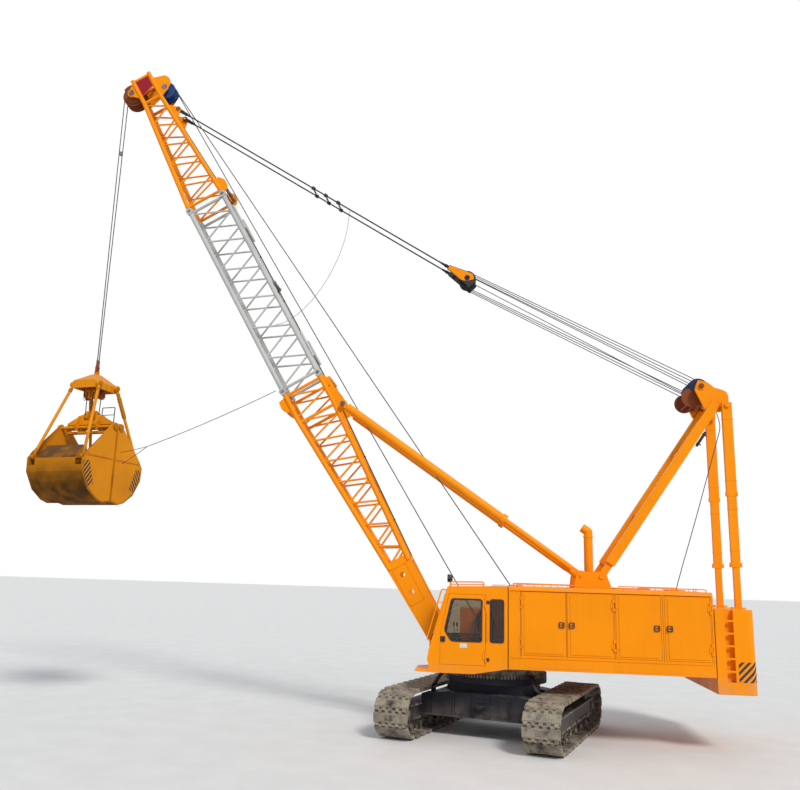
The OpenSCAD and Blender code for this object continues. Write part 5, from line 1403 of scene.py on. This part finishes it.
class CRANE_OT_aframe(bpy.types.Operator):
    """Adds pin heads, collars, an aerial and a canister to the A-frame"""

    bl_idname = "crane.aframe"
    bl_label = "A-frame fittings"

    def execute(self, context):
        head, parts, pins = Vector((HEAD_AXLE[0], 0, HEAD_AXLE[1])), [], []
        keeper = rounded(oblong(head.x - 0.03, head.z + 0.07, head.x + 0.03, head.z + 0.13), 0.01)
        for side in (-1, 1):
            out = Vector((0, side, 0))
            # the head pin and its keeper, then the pins of the rear leg's top and the front leg's foot
            pins.append(disc(head + out * 0.655, 0.058, 0.02, 32))
            parts.append(slab(keeper, 0.012 * side, side * 0.61))
            parts += [hex_bolt(head + out * 0.62 + Vector((x, 0, 0.1)), out, 0.012) for x in (-0.018, 0.018)]
            parts.append(disc((-5.4, side * 0.829, 7.65), 0.062, 0.012, 28))
            parts.append(disc((-2.42, side * 0.665, 3.6), 0.062, 0.012, 28))
            for z in (3.94, 5.55):
                for x in (-5.5, -5.3):
                    parts.append(hex_bolt((x, side * 0.79, z), out, 0.022))
            for z, deep, wide in COLLARS:
                outline = oblong(-5.4 - deep, side * 0.73 - wide, -5.4 + deep, side * 0.73 + wide)
                parts.append(surround(grown(outline, 0.006), 0.012, 0.03, z, "XY"))
        gather("head_pins", pins, "superstructure", "red_enamel", edge=0.003)
        gather("aframe_fittings", parts, "superstructure", "orange_enamel", edge=0.002)
        mast = [
            rod((-5.36, -0.5, 8.03), (-5.36, -0.5, 8.13), 0.014, 12),
            rod((-5.36, -0.5, 8.1), (-5.37, -0.5, 8.39), 0.004, 8, 0.002),
        ]
        gather("aerial", mast, "superstructure", "black_rubber")
        leg = (Vector((-5.28, 0, 7.85)) - Vector((-2.42, 0, 3.6))).normalized()
        place = Matrix.Translation((-4.82, 0.58, 6.86)) @ Matrix.Rotation(-math.atan2(leg.z, leg.x), 4, "Y")
        shell = [(0.0, -0.21), (0.026, -0.21), (0.034, -0.19), (0.034, 0.19), (0.026, 0.21), (0.0, 0.21)]
        canister = [
            lathe(shell, (0, 0, 0), "X", 24),
            *(surround(arc((0, 0), 0.042, 0, 345, 23), 0.01, 0.03, x - 0.015, "YZ") for x in (-0.13, 0.13)),
            *(block((x - 0.012, -0.015, 0.03), (x + 0.012, 0.015, 0.075)) for x in (-0.13, 0.13)),
        ]
        gather("leg_canister", canister, "superstructure", "black_rubber", place, edge=0.002)
        return {"FINISHED"}


class CRANE_OT_boom(bpy.types.Operator):
    """Adds panels, pins, cheeks, rope rollers and a cable to the boom, and fits out the pendants"""

    bl_idname = "crane.boom"
    bl_label = "Boom fittings"

    def execute(self, context):
        panels = []
        outline = [(17.28, -0.19), (17.84, -0.19), (17.84, 0.19), (17.43, 0.19)]
        for side in (-1, 1):
            panels.append(slab(rounded(outline, 0.02), 0.008, side * 0.3175 - 0.004))
            screw = disc((17.48, side * 0.322, -0.15), 0.009, 0.006, 10)
            panels += copies(screw, shifts((0, 0, 0), (0.32, 0, 0), (0.32, 0, 0.3), (0.06, 0, 0.3)))
        gather("head_panels", panels, "boom", "bright_red", ON_BOOM, edge=0.002)
        pins = []
        for s in (7.34, 13.16):
            for t in (-0.51, 0.51):
                for side in (-1, 1):
                    at, out = Vector((s, side * 0.45, t)), side * 0.086
                    pins.append(disc(at, 0.04, 0.19, 24))
                    pins.append(rod(at + Vector((0, out, -0.055)), at + Vector((0, out, 0.055)), 0.007, 8))
        for s, t in (NOSE_AXLE, GUIDE_AXLE):
            for side in (-1, 1):
                pins.append(disc((s, side * 0.333, t), 0.082, 0.014, 32))
                for u, v in on_circle((s, t), 0.05, (0.5, 2.6, 4.7)):
                    pins.append(hex_bolt((u, side * 0.338, v), (0, side, 0), 0.014))
        for side in (-1, 1):
            pins.append(disc((PENDANT_LUG[0], side * 0.325, PENDANT_LUG[1]), 0.055, 0.012, 28))
            pins.append(disc((BACKSTOP_LUG[0], side * 0.64, BACKSTOP_LUG[1]), 0.065, 0.012, 28))
        gather("boom_pins", pins, "boom", "roller_steel", ON_BOOM, edge=0.002)
        cheeks = []
        cheek = [(16.93, 0.24), (17.66, 0.24), (17.52, 0.66), (17.36, 0.73), (17.2, 0.7), (17.05, 0.5)]
        plate = [(13.22, 0.5), (13.66, 0.5), (13.7, 0.62), (13.54, 0.75), (13.34, 0.75), (13.22, 0.66)]
        for side in (-1, 1):
            cheeks.append(side_plate(rounded(cheek, 0.05), side, 0.3205, 0.3325))
            cheeks.append(side_plate(rounded(plate, 0.03), side, 0.435, 0.465))
        for low in (-0.485, 0.475):
            cheeks.append(surround(rounded(oblong(1.11, -0.165, 2.09, 0.235), 0.03), 0.03, 0.01, low))
        gather("boom_cheeks", cheeks, "boom", "boom_enamel", ON_BOOM, edge=0.003)
        self.rollers()
        self.cable()
        self.pendant_fittings()
        return {"FINISHED"}

    def rollers(self):
        """Two flanged rope rollers on the back of the boom, each on its stand, and a plain one above them."""
        half = [(0.0, 0.3), (0.045, 0.3), (0.06, 0.27), (0.045, 0.25)]
        flanged = [(r, -y) for r, y in half] + [(r, y) for r, y in reversed(half)]
        places = (7.1, 10.2)
        parts = [lathe(flanged, (s, 0, 0.6), "Y", 28) for s in places]
        for s in places:
            stand = [(s - 0.05, 0.45), (s + 0.05, 0.45), (s + 0.03, 0.63), (s - 0.03, 0.63)]
            parts += [slab(stand, 0.016, side * 0.33 - 0.008) for side in (-1, 1)]
            parts.append(rod((s, -0.45, 0.5), (s, 0.45, 0.5), 0.022, 12))
        parts.append(rod((13.36, -0.436, 0.655), (13.36, 0.436, 0.655), 0.045, 20))
        gather("rope_rollers", parts, "boom", "roller_steel", ON_BOOM, edge=0.002)

    def cable(self):
        """A cable along the boom to a box at its head, with its clips."""
        bends = [(2.2, -0.4, 0.37), (6.4, -0.4, 0.575), (13.2, -0.4, 0.575)]
        bends += [(16.9, -0.262, 0.325), (17.3, -0.262, 0.32)]
        parts = [pipe(even_steps(bends, 0.6), 0.011, 8)]
        clips = [(3.2, -0.4, 0.42), (5.0, -0.4, 0.51)]
        clips += [(s, -0.4, 0.575) for s in (6.9, 8.4, 9.9, 11.4, 12.9)]
        clips += [(14.3, -0.36, 0.5), (15.6, -0.31, 0.41)]
        for s, y, t in clips:
            parts.append(block((s - 0.02, y - 0.03, t - 0.02), (s + 0.02, y + 0.018, t + 0.014)))
        parts.append(block((17.3, -0.29, 0.3), (17.46, -0.21, 0.38)))
        gather("head_cable", parts, "boom", "black_rubber", ON_BOOM, edge=0.002)

    def pendant_fittings(self):
        """Sockets, clamps and bolts on the pendants and the bridle's side plates."""
        parts = []
        for side in (-1, 1):
            y = side * 0.23
            for x, toward in ((-0.18, -1), (-PENDANT_LENGTH + 0.06, 1)):
                parts.append(rod((x, y, 0), (x + toward * 0.24, y, 0), 0.042, 16, 0.024))
                parts.append(rod((x + toward * 0.05, y, 0), (x + toward * 0.1, y, 0), 0.046, 16))
            for i in range(3):
                x = -4.78 - 0.415 * i
                for dx in (-0.028, 0.028):
                    parts.append(hex_bolt((x + dx, y + side * 0.015, 0.04), (0, 0, 1), 0.016))
            parts.append(disc((BRIDLE_AXLE, side * 0.262, 0), 0.07, 0.012, 28))
            for x, z in ((-0.68, 0.1), (-0.68, -0.12), (-0.2, 0.04)):
                parts.append(hex_bolt((-PENDANT_LENGTH + x, side * 0.25, z), (0, side, 0), 0.02))
        gather("pendant_fittings", parts, "pendants", "dark_enamel", ON_PENDANT, edge=0.002)
        corners = [(0.05, -0.05), (0.05, 0.05), (-0.59, 0.17), (-0.7, 0.06), (-0.55, -0.08), (-0.43, -0.13)]
        outline = rounded([(x - PENDANT_LENGTH, z) for x, z in corners], 0.04)
        cheeks = [side_plate(outline, side, 0.2503, 0.2573) for side in (-1, 1)]
        gather("bridle_cheeks", cheeks, "pendants", "boom_enamel", ON_PENDANT, edge=0.002)


# On the end plates of the jaw on the side of +X, in the grab's own X and Z: the striped patch and the edge
JAW_STRIPES = [(1.145, 6.04), (1.138, 5.8), (0.9, 5.41), (0.7, 5.52), (0.92, 6.08)]
JAW_EDGE = [(0.012, 5.145), (0.3, 5.08), (0.53, 5.15), (0.86, 5.378)]
JAW_EDGE += [(1.106, 5.798), (1.124, 6.11), (0.99, 6.28)]


class CRANE_OT_grab(bpy.types.Operator):
    """Adds stripes, beads, rope sockets, pin caps, webs and the small wire frame to the grab"""

    bl_idname = "crane.grab"
    bl_label = "Grab fittings"

    def execute(self, context):
        for sign, name in ((1, "a"), (-1, "b")):
            self.jaw(sign, name)
            self.arms(sign, name)
        self.head()
        self.crosshead()
        return {"FINISHED"}

    def jaw(self, sign, name):
        """Stripes, beads and pin caps on both end plates of the jaw on one side in X."""
        black, beads = [], []
        region = [(sign * x, z) for x, z in JAW_STRIPES]
        if sign < 0:
            region.reverse()
        for outline in stripes(region, math.radians(128 if sign > 0 else 52), 0.045):
            black += [side_plate(outline, side, JAW_FACE, JAW_FACE + 0.003) for side in (-1, 1)]
        gather(f"jaw_stripes_{name}", black, f"grab_jaw_{name}", "hazard_black", ON_GRAB)
        for side in (-1, 1):
            line = [(sign * x, side * (JAW_FACE + 0.001), z) for x, z in JAW_EDGE]
            beads.append(pipe(even_steps(line, 0.3), 0.014, 8))
            sunk, out = side * (JAW_FACE - 0.002), side * (JAW_FACE + 0.012)
            beads.append(block((sign * 0.008, sunk, 5.16), (sign * 0.032, out, 6.98)))
            # the bead under the rim is flatter on the side of +Y
            if side > 0:
                out -= 0.006
            beads.append(block((sign * 0.07, sunk, 6.19), (sign * 1.0, out, 6.225)))
            cap = (sign * 0.11, side * (JAW_FACE + 0.035), JAW_PIN)
            beads.append(disc(cap, 0.085, 0.03, 32))
            beads.append(disc(cap, 0.03, 0.05, 16))
            for x, z in on_circle((cap[0], cap[2]), 0.06, (0.8, 2.9, 5.0)):
                beads.append(hex_bolt((x, cap[1] + side * 0.012, z), (0, side, 0), 0.012))
        gather(f"jaw_edges_{name}", beads, f"grab_jaw_{name}", "worn_grab", ON_GRAB, edge=0.002)

    def arms(self, sign, name):
        """Pin washers and sockets on the two arms on one side in X, with a sleeve round those of -X."""
        parts = []
        for side in (-1, 1):
            top, foot = Vector((sign * 0.35, side * 0.42, 8.2)), Vector((sign * 1.06, side * 0.785, 6.18))
            for point in (top, foot):
                parts += [disc(point + Vector((0, out, 0)), 0.055, 0.012, 24) for out in (-0.05, 0.05)]
            parts.append(rod(top.lerp(foot, 0.06), top.lerp(foot, 0.1), 0.052, 16))
            parts.append(rod(top.lerp(foot, 0.9), top.lerp(foot, 0.94), 0.052, 16))
            if sign < 0:
                parts.append(rod(top.lerp(foot, 0.11), top.lerp(foot, 0.38), 0.056, 20))
        gather(f"arm_fittings_{name}", parts, f"grab_arms_{name}", "worn_grab", ON_GRAB, edge=0.002)

    def head(self):
        """Rope sockets over the head, pins, bolts and the side knobs of the upper sheave block."""
        red, yellow = [], []
        socket = [(0.0, 0.0), (0.03, 0.0), (0.036, 0.03), (0.036, 0.14)]
        socket += [(0.026, 0.2), (0.026, 0.3), (0.018, 0.35), (0.0, 0.35)]
        knob = [(0.0, -0.03), (0.03, -0.03), (0.035, 0.0), (0.03, 0.03), (0.0, 0.03)]
        half = [(0.03, 0.27, UPPER_AXLE), (0.07, 0.3, 7.94), (0.03, 0.31, 7.85)]
        loop = half + [(-x, y, z) for x, y, z in reversed(half)]
        for y in (-0.045, 0.045):
            foot = ON_GRAB.inverted() @ Vector((GRAB_X, y, 8.6))
            red.append(lathe(socket, foot, "Z", 20))
            red.append(disc(foot + Vector((0, 0, 0.12)), 0.012, 0.1, 12))
        for side in (-1, 1):
            for x in (-0.08, 0.08):
                red.append(hex_bolt((x, side * 0.2, 8.2), (0, side, 0), 0.02))
            red.append(disc((0, side * 0.235, UPPER_AXLE), 0.06, 0.012, 24))
            red.append(disc((0, side * 0.215, 8.0), 0.165, 0.02, 32))
            red.append(lathe(knob, (0, side * 0.27, UPPER_AXLE), "Y", 20))
            red.append(pipe(curved([(x, side * y, z) for x, y, z in loop], 5), 0.006, 6))
        gather("grab_sockets", red, "grab_head", "red_enamel", ON_GRAB, edge=0.002)
        for side in (-1, 1):
            for x in (-0.35, 0.35):
                yellow.append(disc((x, side * 0.487, 8.2), 0.058, 0.012, 28))
            for x in (-0.2, 0.0, 0.2):
                yellow.append(block((x - 0.012, side * 0.362, 8.1), (x + 0.012, side * 0.372, 8.24)))
        gather("grab_head_fittings", yellow, "grab_head", "worn_grab", ON_GRAB, edge=0.002)

    def crosshead(self):
        """The bent wire frame beside the lower sheave block, pins and bolts, and the webs under the block."""
        post = [(0.68, 7.17), (0.68, 7.6), (0.66, 7.62), (0.3, 7.62), (0.28, 7.6), (0.28, 7.26)]
        wires = [
            pipe([(-0.05, y, z) for y, z in post], 0.013, 8),
            rod((-0.05, 0.28, 7.42), (-0.05, 0.68, 7.42), 0.01, 8),
        ]
        for side in (-1, 1):
            wires.append(disc((0, side * 0.235, LOWER_AXLE), 0.055, 0.012, 24))
            wires += [hex_bolt((x, side * 0.352, 7.2), (0, side, 0), 0.018) for x in (-0.12, 0.12)]
        half = [(0.7, 7.15), (0.7, 7.2), (0.27, 7.42), (0.18, 7.43), (0.18, 7.2)]
        web = [(-0.7, 7.15), *half, *((-y, z) for y, z in reversed(half[1:]))]
        webs = [slab(web, 0.012, x, "YZ") for x in (-0.092, 0.08)]
        webs.append(block((-0.08, -0.7, 6.92), (0.08, 0.7, 6.98)))
        gather("crosshead_webs", webs, "grab_crosshead", "grab_enamel", ON_GRAB, edge=0.003)
        gather("grab_wire_frame", wires, "grab_crosshead", "black_rubber", ON_GRAB)


# The slack line from the pendants to the boom, and the slack rope from the A-frame's head in X and Z
SLACK_LINE = [
    (3.96, 0.23, 13.078),
    (4.06, 0.25, 12.25),
    (4.33, 0.28, 11.42),
    (4.68, 0.31, 10.75),
    (5.11, 0.35, 10.2),
    (5.55, 0.39, 9.87),
    (6.08, 0.43, 9.73),
]
SLACK_ROPE = [(-4.9753, 8.3533), (-5.1, 8.235), (-5.215, 8.06), (-5.269, 7.91), (-5.31, 7.78), (-5.4, 7.5)]
SLACK_ROPE += [(-5.43, 7.25), (-5.35, 6.95), (-5.16, 6.34), (-4.74, 4.99), (-4.25, 3.46)]
SLACK_ROPE += [(-4.16, 3.0), (-4.143, 2.56)]


class CRANE_OT_slack(bpy.types.Operator):
    """Hangs the slack line under the pendants and the slack rope behind the A-frame"""

    bl_idname = "crane.slack"
    bl_label = "Slack lines"

    def execute(self, context):
        path = curved(SLACK_LINE, 5)
        piece = rope("slack_line", path, 0.006, sides=6, between=("boom", "pendants", path[-1], path[0]))
        path = curved([(x, 0, z) for x, z in SLACK_ROPE], 3)
        piece = rope("slack_rope", path, 0.0104, "superstructure", sides=7)
        return {"FINISHED"}


# Camera, fitted to the photograph: its place, its heading, pitch and roll in radians, and its focal length
# and the picture's width in pixels
CAMERA_AT = Vector((0.209, 20.159, 3.489))
CAMERA_HEADING, CAMERA_PITCH, CAMERA_ROLL = 0.112, 0.220, 0.030
FOCAL_PIXELS, PICTURE_WIDTH = 806.4, 800


def camera_matrix():
    """Where the camera stands and how it is turned."""
    across = Vector((-math.cos(CAMERA_HEADING), -math.sin(CAMERA_HEADING), 0))
    level = Vector((math.sin(CAMERA_HEADING), -math.cos(CAMERA_HEADING), 0))
    zenith = Vector((0, 0, 1))
    forward = math.cos(CAMERA_PITCH) * level + math.sin(CAMERA_PITCH) * zenith
    upward = math.cos(CAMERA_PITCH) * zenith - math.sin(CAMERA_PITCH) * level
    right = math.cos(CAMERA_ROLL) * across + math.sin(CAMERA_ROLL) * upward
    up = math.cos(CAMERA_ROLL) * upward - math.sin(CAMERA_ROLL) * across
    turned = Matrix((right, up, -forward)).transposed().to_4x4()
    return Matrix.Translation(CAMERA_AT) @ turned


class CRANE_OT_stage(bpy.types.Operator):
    """Makes the camera, the floor, the lamps and the pale surroundings"""

    bl_idname = "crane.stage"
    bl_label = "Stage"

    def execute(self, context):
        context.scene.view_settings.view_transform = "Standard"
        self.camera(context)
        self.floor(context)
        self.world(context)
        self.sun(context)
        return {"FINISHED"}

    def camera(self, context):
        alone()
        bpy.ops.object.camera_add()
        camera = context.object
        camera.name = "photo_camera"
        camera.matrix_world = camera_matrix()
        camera.data.sensor_width = 36
        camera.data.lens = 36 * FOCAL_PIXELS / PICTURE_WIDTH
        camera.data.clip_end = 500
        context.scene.camera = camera

    def floor(self, context):
        bpy.ops.mesh.primitive_plane_add(size=400, location=(0, 0, 0))
        floor = context.object
        floor.name = "floor"
        pale = Finish("pale_floor")
        grain = pale.band(pale.noise(1.2, 6), 0.3, 0.7)
        pale.surface(pale.mix(grain, (0.66, 0.66, 0.65), (0.7, 0.7, 0.69)), pale.band(grain, 0, 1, 0.85, 0.9))
        floor.data.materials.append(pale.material)

    def world(self, context):
        """White to the camera, to reflections and through glass, and a dimmer, cooler light to all else."""
        world = bpy.data.worlds.new("pale_room")
        context.scene.world = world
        world.use_nodes = True
        nodes, links = world.node_tree.nodes, world.node_tree.links
        nodes.clear()
        out = nodes.new("ShaderNodeOutputWorld")
        choose = nodes.new("ShaderNodeMixShader")
        path = nodes.new("ShaderNodeLightPath")
        for socket, colour, strength in ((1, (0.86, 0.92, 1, 1), 0.62), (2, (1, 1, 1, 1), 1)):
            light = nodes.new("ShaderNodeBackground")
            light.inputs["Color"].default_value = colour
            light.inputs["Strength"].default_value = strength
            links.new(light.outputs[0], choose.inputs[socket])
        seen = path.outputs["Is Camera Ray"]
        for ray in ("Is Glossy Ray", "Is Transmission Ray"):
            either = nodes.new("ShaderNodeMath")
            either.operation = "MAXIMUM"
            links.new(seen, either.inputs[0])
            links.new(path.outputs[ray], either.inputs[1])
            seen = either.outputs[0]
        links.new(seen, choose.inputs[0])
        links.new(choose.outputs[0], out.inputs[0])

    def sun(self, context):
        bpy.ops.object.light_add(type="SUN", location=(-6, 14, 24))
        sun = context.object
        sun.name = "soft_sun"
        sun.data.energy = 2.3
        sun.data.angle = math.radians(14)
        sun.data.color = (1, 0.97, 0.92)
        sun.rotation_mode = "QUATERNION"
        sun.rotation_quaternion = Vector((0.4, -0.64, -0.66)).to_track_quat("-Z", "Y")


# The operators in the order in which they run
STEPS = ("stage", "nodes", "tracks", "undercarriage", "slewing", "ropes", "house", "cab", "seat")
STEPS += ("counterweight", "aframe", "boom", "grab", "slack")
CLASSES = (
    CranePaint,
    CraneSizes,
    CRANE_OT_stage,
    CRANE_OT_nodes,
    CRANE_OT_tracks,
    CRANE_OT_undercarriage,
    CRANE_OT_slewing,
    CRANE_OT_ropes,
    CRANE_OT_house,
    CRANE_OT_cab,
    CRANE_OT_seat,
    CRANE_OT_counterweight,
    CRANE_OT_aframe,
    CRANE_OT_boom,
    CRANE_OT_grab,
    CRANE_OT_slack,
)


class CRANE_PT_build(bpy.types.Panel):
    """Lists the crane's settings and the buttons of its building steps"""

    bl_label = "Crane"
    bl_idname = "CRANE_PT_build"
    bl_space_type = "VIEW_3D"
    bl_region_type = "UI"
    bl_category = "Crane"

    def draw(self, context):
        for group in (context.scene.crane_paint, context.scene.crane_sizes):
            box = self.layout.box()
            for key in group.__annotations__:
                box.prop(group, key)
        for step in STEPS:
            self.layout.operator("crane." + step)


def register():
    for cls in (*CLASSES, CRANE_PT_build):
        bpy.utils.register_class(cls)
    bpy.types.Scene.crane_paint = PointerProperty(type=CranePaint)
    bpy.types.Scene.crane_sizes = PointerProperty(type=CraneSizes)


def unregister():
    del bpy.types.Scene.crane_sizes
    del bpy.types.Scene.crane_paint
    for cls in reversed((*CLASSES, CRANE_PT_build)):
        bpy.utils.unregister_class(cls)


def main():
    register()
    for step in STEPS:
        getattr(bpy.ops.crane, step)()


if __name__ == "__main__":
    main()
